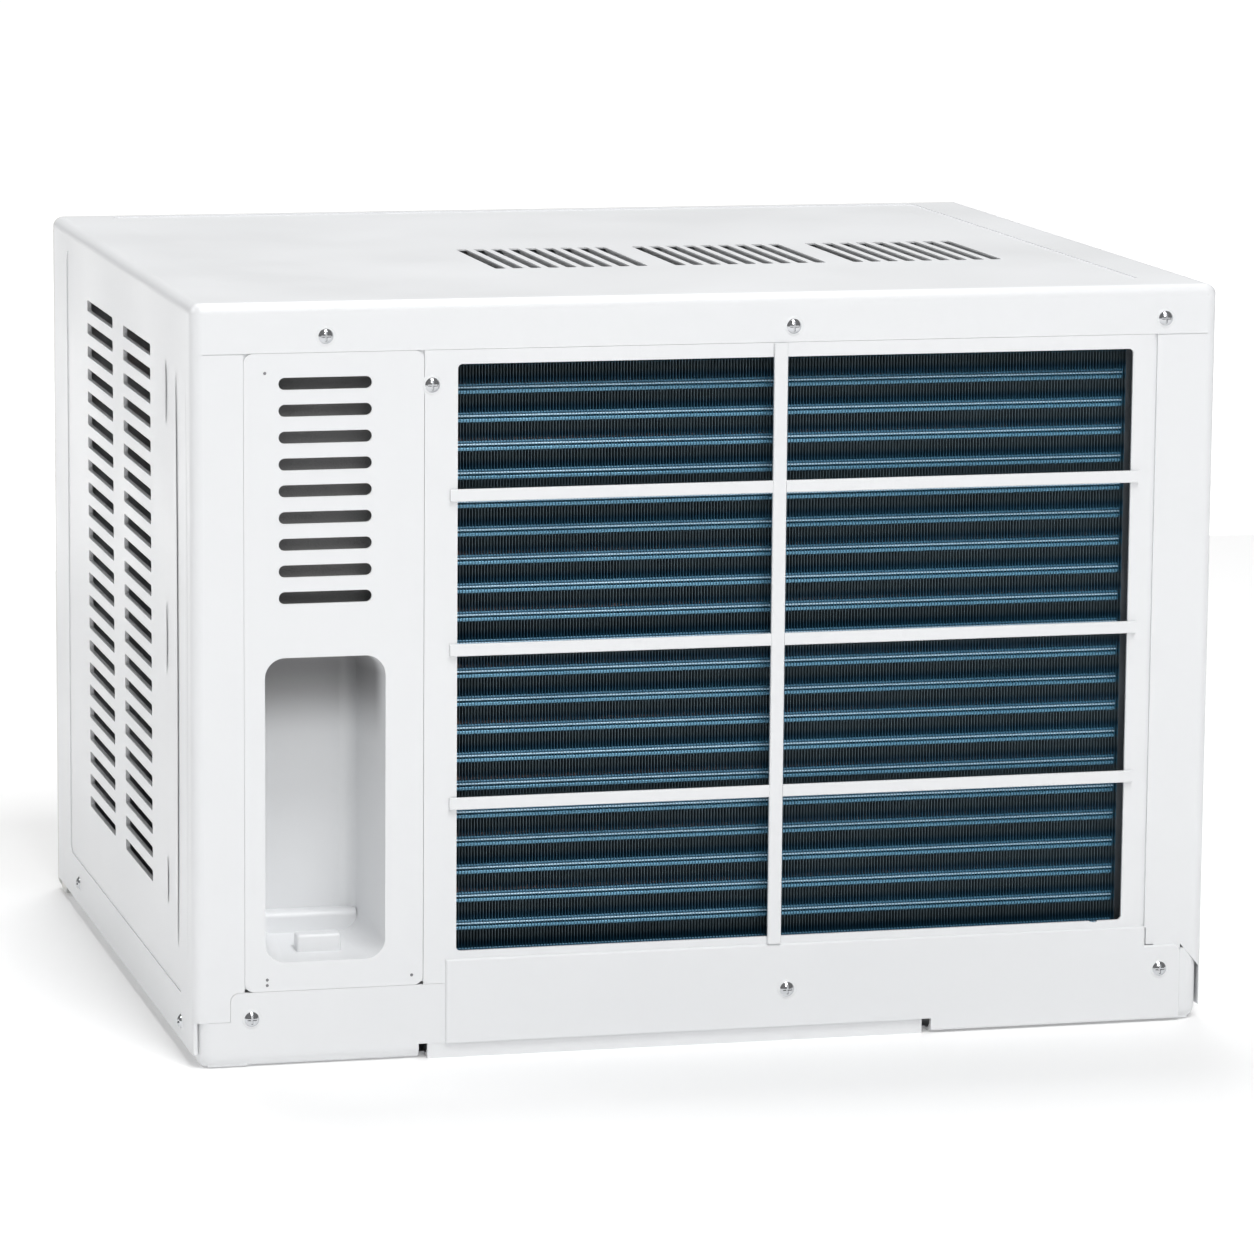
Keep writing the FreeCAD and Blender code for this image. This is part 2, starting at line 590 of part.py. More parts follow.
def sketch_on(body, plane, offset="0"):
    """A sketch on one of the body's own origin planes, moved along the plane's normal."""
    origin_plane = next(f for f in body.Origin.OriginFeatures if f.Role == plane)
    sketch = body.newObject("Sketcher::SketchObject", body.Name + "_sketch")
    sketch.AttachmentSupport = [(origin_plane, "")]
    sketch.MapMode = "FlatFace"
    bind(sketch, "AttachmentOffset.Base.z", offset)
    return sketch


def fix(sketch, kind, geometry, point, text):
    """Ties a sketch point's distance from the sketch's origin to a formula."""
    number = sketch.addConstraint(Sketcher.Constraint(kind, -1, 1, geometry, point, 1.0))
    bind(sketch, f"Constraints[{number}]", text)


def draw_rectangle(sketch, across, up):
    first = sketch.GeometryCount
    corners = [Vector(0, 0, 0), Vector(1, 0, 0), Vector(1, 1, 0), Vector(0, 1, 0)]
    for n in range(4):
        sketch.addGeometry(Part.LineSegment(corners[n], corners[(n + 1) % 4]), False)
    for n in range(4):
        sketch.addConstraint(Sketcher.Constraint("Coincident", first + n, 2, first + (n + 1) % 4, 1))
        sketch.addConstraint(Sketcher.Constraint(("Horizontal", "Vertical")[n % 2], first + n))
    fix(sketch, "DistanceX", first, 1, across[0])
    fix(sketch, "DistanceX", first, 2, across[1])
    fix(sketch, "DistanceY", first, 1, up[0])
    fix(sketch, "DistanceY", first + 2, 1, up[1])


def draw_circle(sketch, centre, radius):
    first = sketch.GeometryCount
    sketch.addGeometry(Part.Circle(Vector(0, 0, 0), Vector(0, 0, 1), 1), False)
    fix(sketch, "DistanceX", first, 3, centre[0])
    fix(sketch, "DistanceY", first, 3, centre[1])
    number = sketch.addConstraint(Sketcher.Constraint("Radius", first, 1.0))
    bind(sketch, f"Constraints[{number}]", radius)


def pad(body, sketch, length):
    made = body.newObject("PartDesign::Pad", body.Name + "_pad")
    made.Profile = sketch
    bind(made, "Length", length)
    return made


def pocket(body, sketch, length, reverse=False):
    """Cuts a sketch out of the body, and makes sure that it did cut."""
    doc.recompute()
    before = body.Shape.Volume
    made = body.newObject("PartDesign::Pocket", body.Name + "_pocket")
    made.Profile = sketch
    made.Reversed = reverse
    bind(made, "Length", length)
    doc.recompute()
    if body.Shape.Volume >= before:
        raise ValueError(made.Name + " cuts nothing")
    return made


def wire_path(points, radius):
    """A path of straight runs joined by tangent arcs of one radius."""
    edges, start = [], points[0]
    for before, corner, after in zip(points, points[1:], points[2:]):
        inward, outward = (before - corner).normalize(), (after - corner).normalize()
        half = inward.getAngle(outward) / 2
        leg = radius / math.tan(half)
        first, last = corner + inward * leg, corner + outward * leg
        middle = corner + (inward + outward).normalize() * (radius / math.sin(half) - radius)
        edges += [Part.LineSegment(start, first).toShape(), Part.Arc(first, middle, last).toShape()]
        start = last
    edges.append(Part.LineSegment(start, points[-1]).toShape())
    return Part.Wire(edges)


def pipe_along(points, radius, bend):
    """A round pipe along straight runs and bends, its volume compared with section times length."""
    path = wire_path(points, bend)
    section = Part.Wire([Part.Circle(points[0], points[1] - points[0], radius).toShape()])
    pipe = path.makePipeShell([section], True, False)
    expected = math.pi * radius**2 * path.Length
    if abs(pipe.Volume / expected - 1) > 0.02:
        raise ValueError("a pipe's volume is wrong")
    return pipe


# ---------------------------------------------------------------- places used by several pieces
FEET = [(f"comp_x + foot_ring*{math.cos(a)}", f"comp_y + foot_ring*{math.sin(a)}")
        for a in (math.radians(angle) for angle in (180, 60, -60))]
BAND_SCREWS = [(175.5, 325), (-36, 325), (-210, 325)]
PANEL_SCREWS = [(128, 302.5)]
PAN_SCREWS = [(208.9, 22)]
APRON_SCREWS = [(-36.3, 24), (-213.7, 25)]
SIDE_SCREWS = [(-123, 17.5), (166.7, 15.2)]
BLADE_Z = [f"(outlet_low + outlet_high)/2 + blade_pitch*({n} - (blade_count - 1)/2)"
           for n in range(int(size.blade_count))]
VANE_X = [f"(intake_right - intake_left)/2 + vane_pitch*({n} - (vane_count - 1)/2)"
          for n in range(int(size.vane_count))]
DAMPER_PIN_Y = "(wall_thick + gap + damper_pin_r - wall_y)"
DAMPER_PIN_Z = "(vent_hole_z + vent_hole_tall/2 + damper_lap + damper_pin_r)"
DESK_BACK = "(desk_deep + bezel_wall - depth/2)"
PAN_SIDE = "(width/2 - pan_inset)"
PAN_INSIDE = "(width/2 - pan_inset - pan_gauge - gap)"


def rear_holes(name, places, radius):
    """Holes through the rear sheets at (x, z) places."""
    span = ("depth/2 - reach", "depth/2 + reach")
    return [rod(f"{name}_{n}", "y", place, span, radius) for n, place in enumerate(places)]


def strip_slope(name, lower):
    """The wedge left free under the sloping foot of the -X strip."""
    x, rear = -size.notch_right, size.depth / 2
    points = [(x + size.reach, size.tab_top), (x, size.tab_top), (x - size.slope_long, size.slope_foot),
              (x - size.slope_long, -size.reach), (x + size.reach, -size.reach)]
    outline = [Vector(x, rear - size.reach, z - lower) for x, z in points]
    face = Part.Face(Part.makePolygon(outline + outline[:1]))
    return solid_of(name, face.extrude(Vector(0, 2 * size.reach, 0)))


# ---------------------------------------------------------------- case
def base_pan():
    rear = size.depth / 2
    inside = f"({PAN_SIDE} - pan_gauge)"
    shell = block("pan_block", (mirrored(PAN_SIDE), PAN_SIDE), ("-pan_front", REAR), ("0", "pan_wall"))
    shell = soften("pan_bends", shell, size.pan_bend, lambda edge: (
        lies_at(edge, z=0) and (runs_along(edge, "y") or lies_at(edge, y=rear))
        or runs_along(edge, "z") and lies_at(edge, y=rear)))
    hollow = block("pan_hollow", (mirrored(inside), inside),
                   ("pan_gauge - pan_front", "depth/2 - pan_gauge"), ("pan_gauge", "pan_wall + reach"))
    hollow = soften("pan_hollow_bends", hollow, size.pan_bend - size.pan_gauge, lambda edge: (
        lies_at(edge, z=size.pan_gauge) and (runs_along(edge, "y") or lies_at(edge, y=rear - size.pan_gauge))
        or runs_along(edge, "z") and lies_at(edge, y=rear - size.pan_gauge)))
    low_front = block("pan_low_front", (f"-{PAN_SIDE} - reach", f"{PAN_SIDE} + reach"),
                      ("-pan_front - reach", "pan_lip_deep - pan_front"), ("pan_lip", "pan_wall + reach"))
    tunnel = block("pan_tunnel", ("-tunnel_right", "tunnel_left"),
                   ("depth/2 - tunnel_deep", "depth/2 + reach"), ("-reach", "tunnel_high"))
    strip = block("pan_strip", ("-tunnel_right", "tunnel_left"),
                  ("depth/2 - tunnel_deep - pan_gauge", "depth/2 - tunnel_deep"),
                  ("0", "tunnel_high + pan_gauge"))
    ledge = block("pan_ledge", ("-tunnel_right", "tunnel_left"),
                  ("depth/2 - tunnel_deep - pan_gauge", REAR), ("tunnel_high", "tunnel_high + pan_gauge"))
    front_y = "depth/2 + apron_proud"
    apron = fuse("apron_outline",
                 block("apron_main", ("-rear_right", "apron_left"), (REAR, front_y), ("apron_foot", "apron_top")),
                 block("apron_tab", ("-notch_right", "-rear_right"), (REAR, front_y), ("apron_foot", "tab_top")))
    apron = soften("apron_corner", apron, size.tab_round, lambda edge: (
        runs_along(edge, "y") and lies_at(edge, x=-size.notch_right, z=size.tab_top)))
    apron = soften("apron_edges", apron, size.apron_round, lambda edge: lies_at(edge, y=rear + size.apron_proud))
    apron = cut("apron_over_tunnel", apron, tunnel)
    backs = [block(f"pan_back_{n}", x, ("depth/2 - 2*pan_gauge", "depth/2 - pan_gauge"), ("pan_gauge/2", "pan_wall"))
             for n, x in enumerate((("notch_left - pan_lap", f"{PAN_SIDE} - pan_bend + pan_gauge"),
                                    (f"pan_bend - pan_gauge - {PAN_SIDE}", "pan_lap - notch_right")))]
    collar = rod("drain_collar", "z", ("-drain_x", "drain_y"), ("0", "drain_high"), "drain_r + drain_wall")
    drilled = [rod("drain_bore", "z", ("-drain_x", "drain_y"), ("-reach", "reach"), "drain_r")]
    behind = ("depth/2 - pan_gauge", REAR)
    corner_z = "(pan_wall - tab_round)"
    square = block("tab_corner_square", ("notch_left - seam - tab_round", "notch_left"), behind, (corner_z, "pan_wall + gap"))
    drilled += [
        block("strip_room_left", ("notch_left - seam", "width/2"), behind, ("strip_foot - seam", "pan_wall + gap")),
        cut("strip_room_right", block("strip_room_block", ("-width/2", "-notch_right"), behind,
                                      ("slope_foot - seam", "pan_wall + gap")), strip_slope("pan_slope", size.seam)),
        cut("tab_corner", square, rod("tab_corner_round", "y", ("notch_left - seam - tab_round", corner_z),
                                      ("depth/2 - reach", "depth/2 + reach"), "tab_round")),
    ]
    for n, (x, y) in enumerate([(x, y) for x in ("-bracket_x", "bracket_x")
                                for y in ("-bracket_front", "bracket_rear")]):
        drilled.append(rod(f"sill_hole_{n}", "z", (x, y), ("-reach", "reach"), "bracket_r"))
    for n, x in enumerate(("tunnel_left", "-tunnel_right")):
        drilled.append(block(f"drain_notch_{n}", (f"{x} - drain_notch/2", f"{x} + drain_notch/2"),
                             ("depth/2 - 2*drain_notch", "depth/2 + reach"), ("-reach", "tunnel_high")))
    drilled += rear_holes("pan_rear_hole", PAN_SCREWS + APRON_SCREWS, "screw_r + screw_gap")
    drilled += [rod(f"pan_side_hole_{n}", "x", place, ("-width", "width"), "screw_r + screw_gap")
                for n, place in enumerate(SIDE_SCREWS)]
    tray = cut("pan_tray", shell, hollow, low_front, tunnel)
    whole = fuse("pan_whole", tray, strip, ledge, apron, collar, *backs)
    return [cut("base_pan", whole, *drilled)]


def compressor_plinth():
    """A pressed plate on the pan's floor, with the studs that the compressor's feet stand on."""
    x = ("comp_x - foot_ring - plinth_past", "comp_x + foot_ring/2 + plinth_past")
    y = ("comp_y - foot_ring - plinth_past/2", "comp_y + foot_ring + plinth_past/2")
    hat = block("plinth_block", x, y, ("pan_gauge", "plinth_high"))
    under = block("plinth_under", *[(f"{low} + pan_gauge", f"{high} - pan_gauge") for low, high in (x, y)],
                  ("-reach", "plinth_high - pan_gauge"))
    studs = [rod(f"plinth_stud_{n}", "z", place, ("plinth_high - pan_gauge", "foot_stud_top"), "foot_stud_r")
             for n, place in enumerate(FEET)]
    return [fuse("compressor_plinth", cut("plinth_hat", hat, under), *studs)]


def side_slots(name, grow, x):
    """Both columns of one side's slots, each grown by a margin, as loose prisms."""
    half_long, half_tall = size.side_slot_long / 2 + grow, size.side_slot_tall / 2 + grow
    slot = rounded_prism(x, (-half_long, half_long), (-half_tall, half_tall), "x", size.slot_corner + grow)
    column = size.side_slot_near + size.side_slot_long / 2
    heights = steps(size.side_rows, -size.side_slot_pitch, size.side_slot_top)
    return solid_of(name, Part.Compound(copies(slot, [(0, y, z) for y in (-column, column) for z in heights])))


def top_slot_places():
    first = size.top_group_first - size.top_slot_pitch * (size.top_rows - 1) / 2
    return [(first - size.top_group_pitch * g + size.top_slot_pitch * n, size.top_slot_mid, size.height)
            for g in range(3) for n in range(int(size.top_rows))]


def case_wrap():
    rear, top, side = size.depth / 2, size.height, size.width / 2
    bent = lambda edge, back, high: (runs_along(edge, "y") and lies_at(edge, z=high)
                                     or runs_along(edge, "x") and lies_at(edge, y=back, z=high)
                                     or runs_along(edge, "z") and lies_at(edge, y=back))
    outer = block("case_block", (RIGHT, LEFT), (CASE_FRONT, REAR), ("case_foot", "height"))
    outer = soften("case_bends", outer, size.case_bend, lambda edge: bent(edge, rear, top))
    hollow = block("case_hollow", (mirrored(INNER), INNER), (f"{CASE_FRONT} - reach", SHEET_REAR),
                   ("case_foot - reach", "height - case_gauge"))
    hollow = soften("case_hollow_bends", hollow, size.case_bend - size.case_gauge,
                    lambda edge: bent(edge, rear - size.case_gauge, top - size.case_gauge))
    shell = cut("case_shell", outer, hollow)
    past = ("depth/2 - 2*case_gauge", "depth/2 + reach")
    openings = [
        block("case_rear_opening", ("-rear_right", "rear_left"), past, ("-reach", "band_low")),
        block("case_strip_end_left", ("rear_left", "width/2 + reach"), past, ("-reach", "strip_foot")),
        block("case_strip_end_right", ("-width/2 - reach", "-rear_right"), past, ("-reach", "slope_foot")),
        soften("case_notch_left_round", block("case_notch_left", ("rear_left - reach", "notch_left"), past,
                                              ("-reach", "pan_wall + seam")), size.tab_round, lambda edge: (
            runs_along(edge, "y") and lies_at(edge, x=size.notch_left, z=size.pan_wall + size.seam))),
        soften("case_notch_right_round", block("case_notch_right", ("-notch_right", "reach - rear_right"), past,
                                               ("-reach", "tab_top")), size.tab_round, lambda edge: (
            runs_along(edge, "y") and lies_at(edge, x=-size.notch_right, z=size.tab_top))),
        cut("case_slope", strip_slope("case_slope_wedge", 0),
            block("case_slope_keep", ("-notch_right", "reach - notch_right"),
                  ("depth/2 - 2*reach", "depth/2 + 2*reach"), ("-2*reach", "tab_top + reach"))),
        block("case_tick", ("-rear_right - tick_wide", "reach - rear_right"), past, ("0", "apron_top - tick_wide")),
        block("case_tick_foot", ("-rear_right - tick_long", "reach - rear_right"), past, ("0", "tab_top + tick_wide/2")),
        block("case_filter_slot", (f"{RIGHT} - reach", f"{RIGHT} + reach"),
              ("-filter_y - filter_thick/2 - filter_gap", "-filter_y + filter_thick/2 + filter_gap"),
              ("filter_low - filter_gap", "filter_high + filter_gap")),
    ]
    for n, x in enumerate((("rear_left - reach", "width/2 - case_bend"), ("case_bend - width/2", "reach - rear_right"))):
        openings.append(block(f"case_groove_{n}", x, ("depth/2 - groove_deep", "depth/2 + reach"),
                              ("band_low - groove_tall", "band_low")))
    top_field = rounded_prism((-size.top_field_half, size.top_field_half),
                              (-size.top_field_front, size.top_field_rear),
                              (top - size.press_depth, top + size.reach), "z", size.press_corner)
    fields = [solid_of("case_top_field", top_field)]
    for n, span in enumerate(((side - size.press_depth, side + size.reach),
                              (-side - size.reach, size.press_depth - side))):
        field = rounded_prism(span, (-size.side_field_front, size.side_field_rear),
                              (size.side_field_low, size.side_field_high), "x", size.press_corner)
        fields.append(solid_of(f"case_side_field_{n}", field))
    pressed = cut("case_pressed", shell, *openings, *fields)
    inner = side - size.case_gauge
    lips = [side_slots("case_lips_left", size.slot_lip_wide, (inner - size.slot_lip_deep, inner + size.gap)),
            side_slots("case_lips_right", size.slot_lip_wide, (-inner - size.gap, size.slot_lip_deep - inner))]
    lipped = fuse("case_lipped", pressed, *lips)
    slots = [side_slots("case_slots_left", 0, (inner - size.reach, side + size.reach)),
             side_slots("case_slots_right", 0, (-side - size.reach, size.reach - inner))]
    half_wide, half_long = size.top_slot_wide / 2, size.top_slot_long / 2
    top_slot = rounded_prism((-half_wide, half_wide), (-half_long, half_long), (-size.reach, size.reach),
                             "z", size.slot_corner)
    slots.append(solid_of("case_top_slots", Part.Compound(copies(top_slot, top_slot_places()))))
    holes = rear_holes("case_band_hole", BAND_SCREWS, "screw_r + screw_gap")
    holes += [rod(f"case_side_hole_{n}", "x", place, ("-width", "width"), "screw_r + screw_gap")
              for n, place in enumerate(SIDE_SCREWS)]
    slotted = cut("case_slotted", lipped, *slots, *holes)
    blade = Part.makeBox(size.louvre_plate, size.top_slot_long, size.louvre_deep,
                         Vector(-size.louvre_plate, -half_long, -size.louvre_deep))
    blade.rotate(Vector(0, 0, 0), Vector(0, 1, 0), size.louvre_tilt)
    offsets = [(x - half_wide, y, z - size.case_gauge + size.gap) for x, y, z in top_slot_places()]
    blades = solid_of("case_top_blades", Part.Compound(copies(blade, offsets)))
    return [fuse("case_wrap", slotted, blades)]


def recess_skin(grow, outer_y, inner_y):
    """A tapered block with rounded corners: the hand recess's inside, or its outside when grown."""
    wires = []
    for y in (outer_y, inner_y):
        draw_in = size.recess_taper * (size.depth / 2 - y) / size.recess_deep - grow
        x = (size.vent_mid - size.recess_wide / 2 + draw_in, size.vent_mid + size.recess_wide / 2 - draw_in)
        z = (size.recess_low + draw_in, size.recess_high - draw_in)
        slab = rounded_prism(x, (y - 1, y), z, "y", size.recess_corner)
        face = next(f for f in slab.Faces if abs(f.CenterOfMass.y - y) < 1e-6 and f.Surface.TypeId == "Part::GeomPlane")
        wires.append(face.OuterWire)
    skin = Part.makeLoft(wires, True, True)
    back = [edge for edge in skin.Edges if lies_at(edge, y=inner_y)]
    return skin.makeFillet(size.recess_round + grow, back)


def service_panel():
    rear = size.depth / 2
    plate = rounded_prism((size.panel_right + size.seam, size.rear_left - size.seam), (rear - size.case_gauge, rear),
                          (size.panel_foot, size.band_low - size.seam), "y", size.panel_corner)
    plate = solid_of("panel_plate", plate)
    behind = ("depth/2 - 2*case_gauge", SHEET_REAR)
    flange = fuse("panel_flanges",
                  block("panel_flange_top", ("panel_right + flange_side + gap", "rear_left - flange_lap"), behind,
                        ("band_low - flange_lap", "flange_top")),
                  block("panel_flange_side", ("rear_left - flange_lap", "rear_left + flange_side"), behind,
                        ("notch_top + gap", "flange_top")))
    skin = solid_of("recess_skin", recess_skin(size.recess_wall, rear - size.case_gauge / 2,
                                               rear - size.recess_deep - size.recess_wall))
    hollow = solid_of("recess_hollow", recess_skin(0, rear + size.case_gauge, rear - size.recess_deep))
    tab_y = ("depth/2 - recess_tab_in - recess_tab_deep", "depth/2 - recess_tab_in")
    tab = block("recess_tab", ("vent_mid - recess_tab_wide/2", "vent_mid + recess_tab_wide/2"), tab_y,
                ("recess_low", "recess_low + recess_taper + recess_tab_high"))
    tab = soften("recess_tab_round_edges", tab, size.recess_tab_round, lambda edge: not lies_at(edge, z=size.recess_low))
    ledge_x = size.recess_wide / 2 - size.recess_taper
    ledge = block("recess_ledge", (f"vent_mid - {ledge_x}", f"vent_mid + {ledge_x}"),
                  ("depth/2 - recess_deep - recess_wall/2", "depth/2 - recess_deep + recess_ledge_deep"),
                  ("recess_low", "recess_low + recess_taper + recess_ledge_high"))
    ledge = soften("recess_ledge_round_edge", ledge, size.recess_ledge_round, lambda edge: (
        runs_along(edge, "x") and lies_at(edge, y=rear - size.recess_deep + size.recess_ledge_deep,
                                          z=size.recess_low + size.recess_taper + size.recess_ledge_high)))
    vent_low = "vent_top - vent_pitch*(vent_rows - 1) - vent_tall/2 - baffle_past"
    baffle_x = ("vent_mid - vent_long/2 - baffle_past", "vent_mid + vent_long/2 + baffle_past")
    baffle_z = (vent_low, "vent_top + vent_tall/2 + baffle_past/2")
    sides = [(baffle_x[0], f"{baffle_x[0]} + case_gauge"), (f"{baffle_x[1]} - case_gauge", baffle_x[1])]
    baffle = fuse("rain_baffle",
                  block("baffle_back", baffle_x, ("depth/2 - baffle_in - case_gauge", "depth/2 - baffle_in"), baffle_z),
                  *[block(f"baffle_side_{n}", x, ("depth/2 - baffle_in - case_gauge", "depth/2 - case_gauge/2"), baffle_z)
                    for n, x in enumerate(sides)])
    half_long, half_tall = size.vent_long / 2, size.vent_tall / 2
    slot = rounded_prism((size.vent_mid - half_long, size.vent_mid + half_long),
                         (rear - size.reach / 2, rear + size.reach), (-half_tall, half_tall), "y", half_tall - 0.01)
    slots = copies(slot, [(0, 0, z) for z in steps(size.vent_rows, -size.vent_pitch, size.vent_top)])
    openings = [solid_of("panel_slots", Part.Compound(slots))]
    openings += rear_holes("panel_hole", BAND_SCREWS[:1], "screw_r + screw_gap")
    shell = cut("panel_open", fuse("panel_body", plate, flange, skin), hollow, *openings)
    return [fuse("rear_service_panel", shell, tab, ledge, baffle)]


def condenser_guard():
    rear = size.depth / 2
    plate = block("guard_plate", ("-guard_right", "panel_right - seam"), (SHEET_REAR, REAR),
                  ("panel_foot", "band_low - seam"))
    behind = ("depth/2 - 2*case_gauge", SHEET_REAR)
    flange = fuse("guard_flanges",
                  block("guard_flange_top", ("-guard_right - flange_past", "panel_right + flange_side"), behind,
                        ("band_low - flange_lap", "flange_top")),
                  block("guard_flange_right", ("-guard_right - flange_past", "flange_lap - guard_right"), behind,
                        ("notch_top + gap", "flange_top")),
                  block("guard_flange_left", ("panel_right - flange_lap", "panel_right + flange_side"), behind,
                        ("notch_top + gap", "flange_top")))
    window = rounded_prism((-size.guard_open_right, size.guard_open_left), (rear - size.reach, rear + size.reach),
                           (size.guard_open_low, size.guard_open_high), "y", size.guard_corner)
    holes = rear_holes("guard_hole", BAND_SCREWS[1:] + PANEL_SCREWS + APRON_SCREWS[:1], "screw_r + screw_gap")
    holes += rear_holes("guard_nick", [("-nick_x", "guard_open_low + nick_r - nick_deep")], "nick_r")
    frame = cut("guard_frame", fuse("guard_sheets", plate, flange), solid_of("guard_window", window), *holes)
    half, post_x = size.guard_bar / 2, -size.guard_post
    depth = (rear, rear + size.guard_proud)
    bars = [rounded_prism((post_x - half, post_x + half), depth,
                          (size.apron_top + size.gap, size.band_low - size.gap), "z", size.case_gauge / 2)]
    past, thick = size.guard_rail_past, size.guard_rail / 2
    for z in steps(3, -size.guard_rail_pitch, size.guard_rail_first):
        for x in ((-size.guard_open_right - past, post_x - half), (post_x + half, size.guard_open_left + past)):
            bars.append(rounded_prism(x, depth, (z - thick, z + thick), "x", size.case_gauge / 2))
    bars = [solid_of(f"guard_bar_{n}", bar) for n, bar in enumerate(bars)]
    return [group("condenser_guard", frame, *bars)]


def screw(head_at, outward):
    """A pan-head screw with a cross recess, its head's seat at a point."""
    r, high = size.screw_head_r, size.screw_head_high
    ball_r = (r**2 + high**2) / (2 * high)
    head = Part.makeSphere(ball_r, Vector(0, 0, high - ball_r))
    head = head.common(Part.makeCylinder(2 * r, high))
    wide, long, low = size.screw_cross, 1.2 * r, high - size.screw_cross_deep
    for x, y in ((wide, long), (long, wide)):
        head = head.cut(Part.makeBox(x, y, high, Vector(-x / 2, -y / 2, low)))
    shape = head.fuse(Part.makeCylinder(size.screw_r, size.screw_long, Vector(0, 0, -size.screw_long)))
    shape.Placement = FreeCAD.Placement(head_at, Rotation(Vector(0, 0, 1), outward))
    return shape


def case_screws():
    rear, side = size.depth / 2, size.width / 2
    back = Vector(0, 1, 0)
    made = [screw(Vector(x, rear, z), back) for x, z in BAND_SCREWS + PANEL_SCREWS + PAN_SCREWS]
    made += [screw(Vector(x, rear + size.apron_proud, z), back) for x, z in APRON_SCREWS]
    made += [screw(Vector(way * side, y, z), Vector(way, 0, 0)) for y, z in SIDE_SCREWS for way in (1, -1)]
    return [solid_of("case_screws", Part.Compound(made))]


# ---------------------------------------------------------------- front
def front_bezel():
    front = -size.depth / 2
    rim = block("bezel_block", (RIGHT, LEFT), (FRONT, CASE_FRONT), ("bezel_foot", "height"))
    rim = soften("bezel_edges", rim, size.bezel_round,
                 lambda edge: runs_along(edge, "y") or lies_at(edge, y=front))
    inside = f"({INNER} - gap)"
    skirt = block("bezel_skirt", (mirrored(inside), inside), (f"{CASE_FRONT} - gap", f"{CASE_FRONT} + skirt_deep"),
                  ("bezel_foot", "height - case_gauge - gap"))
    skirt = soften("skirt_corners", skirt, size.case_bend, lambda edge: (
        runs_along(edge, "y") and lies_at(edge, z=size.height - size.case_gauge - size.gap)))
    hollow = block("bezel_hollow", (f"skirt_wall - {inside}", f"{inside} - skirt_wall"),
                   ("bezel_wall - depth/2", f"{CASE_FRONT} + skirt_deep + reach"),
                   ("bezel_foot + bezel_wall", "height - case_gauge - gap - skirt_wall"))
    desk_back = block("desk_back", ("desk_left - bezel_wall", "desk_right + bezel_wall"),
                      ("bezel_wall - depth/2 - gap", DESK_BACK), ("desk_low - bezel_wall", "desk_high + bezel_wall"))
    shelf_y = ("bezel_wall - depth/2 - gap", "filter_thick/2 + filter_gap - filter_y")
    shelf_x = (f"-{inside}", "filter_right + filter_gap")
    shelves = [block("shelf_low", shelf_x, shelf_y, ("filter_low - filter_gap - skirt_wall", "filter_low - filter_gap")),
               block("shelf_high", shelf_x, shelf_y, ("filter_high + filter_gap",
                                                     "filter_high + filter_gap + skirt_wall"))]
    body = fuse("bezel_body", cut("bezel_shell", fuse("bezel_outline", rim, skirt), hollow), desk_back, *shelves)
    past = ("-depth/2 - reach", "bezel_wall - depth/2")
    desk = rounded_prism((size.desk_left, size.desk_right), (front - size.reach, front + size.desk_deep),
                         (size.desk_low, size.desk_high), "y", size.desk_corner)
    openings = [
        block("intake", ("-intake_left", "intake_right"), past, ("intake_low", "intake_high")),
        block("outlet", ("-intake_left", "intake_right"), past, ("outlet_low", "outlet_high")),
        solid_of("desk", desk),
        rod("lever_hole", "y", ("vent_hole_x", "lever_z"), past, "lever_r + shaft_gap"),
        rod("gland_hole", "y", ("gland_x", "gland_z"), past, "gland_r + gland_wall + hole_gap"),
        block("bezel_filter_slot", ("-width/2 - reach", "reach - width/2"),
              ("-filter_y - filter_thick/2 - filter_gap", "-filter_y + filter_thick/2 + filter_gap"),
              ("filter_low - filter_gap", "filter_high + filter_gap")),
    ]
    for n, z in enumerate(("mode_z", "warm_z")):
        openings.append(rod(f"knob_hole_{n}", "y", ("knob_x", z), ("-depth/2", DESK_BACK), "knob_shaft_r + hole_gap"))
    return [in_cells("front_bezel", cut("bezel_moulding", body, *openings), bezel_cells())]


def bezel_cells():
    """The bezel's posts and rails as (x span, z span) pairs, parted along the edges of its openings."""
    left, right = "-width/2 - reach", "width/2 + reach"
    foot, top = "bezel_foot - reach", "height + reach"
    tall = (foot, top)
    opening, desk = ("-intake_left", "intake_right"), ("desk_left", "desk_right")
    return [((left, opening[0]), tall), ((opening[1], desk[0]), tall), ((desk[1], right), tall),
            (opening, (foot, "intake_low")), (opening, ("intake_high", "outlet_low")),
            (opening, ("outlet_high", top)), (desk, (foot, "desk_low")), (desk, ("desk_low", "desk_high")),
            (desk, ("desk_high", top))]


def window_grid(x, z, columns, rows, rib, bar):
    """Equal windows between ribs and bars, as (x span, z span) pairs."""
    wide = (x[1] - x[0] - rib * (columns - 1)) / columns
    tall = (z[1] - z[0] - bar * (rows - 1)) / rows
    return [((left, left + wide), (low, low + tall))
            for left in steps(columns, wide + rib, x[0]) for low in steps(rows, tall + bar, z[0])]


def intake_grille():
    front, frame = -size.depth / 2, size.grille_frame
    x = ("gap - intake_left", "intake_right - gap")
    plate = block("grille_plate", x, (FRONT, "grille_thick - depth/2"), ("intake_low + gap", "intake_high - gap"))
    windows = window_grid((frame - size.intake_left, size.intake_right - frame),
                          (size.intake_low + frame, size.intake_high - frame),
                          size.grille_columns, size.grille_rows, size.grille_rib, size.grille_bar)
    slots = [rounded_prism(across, (front - size.reach, front + size.reach), up, "y", size.slot_corner)
             for across, up in windows]
    return [cut("intake_grille", plate, solid_of("grille_slots", Part.Compound(slots)))]


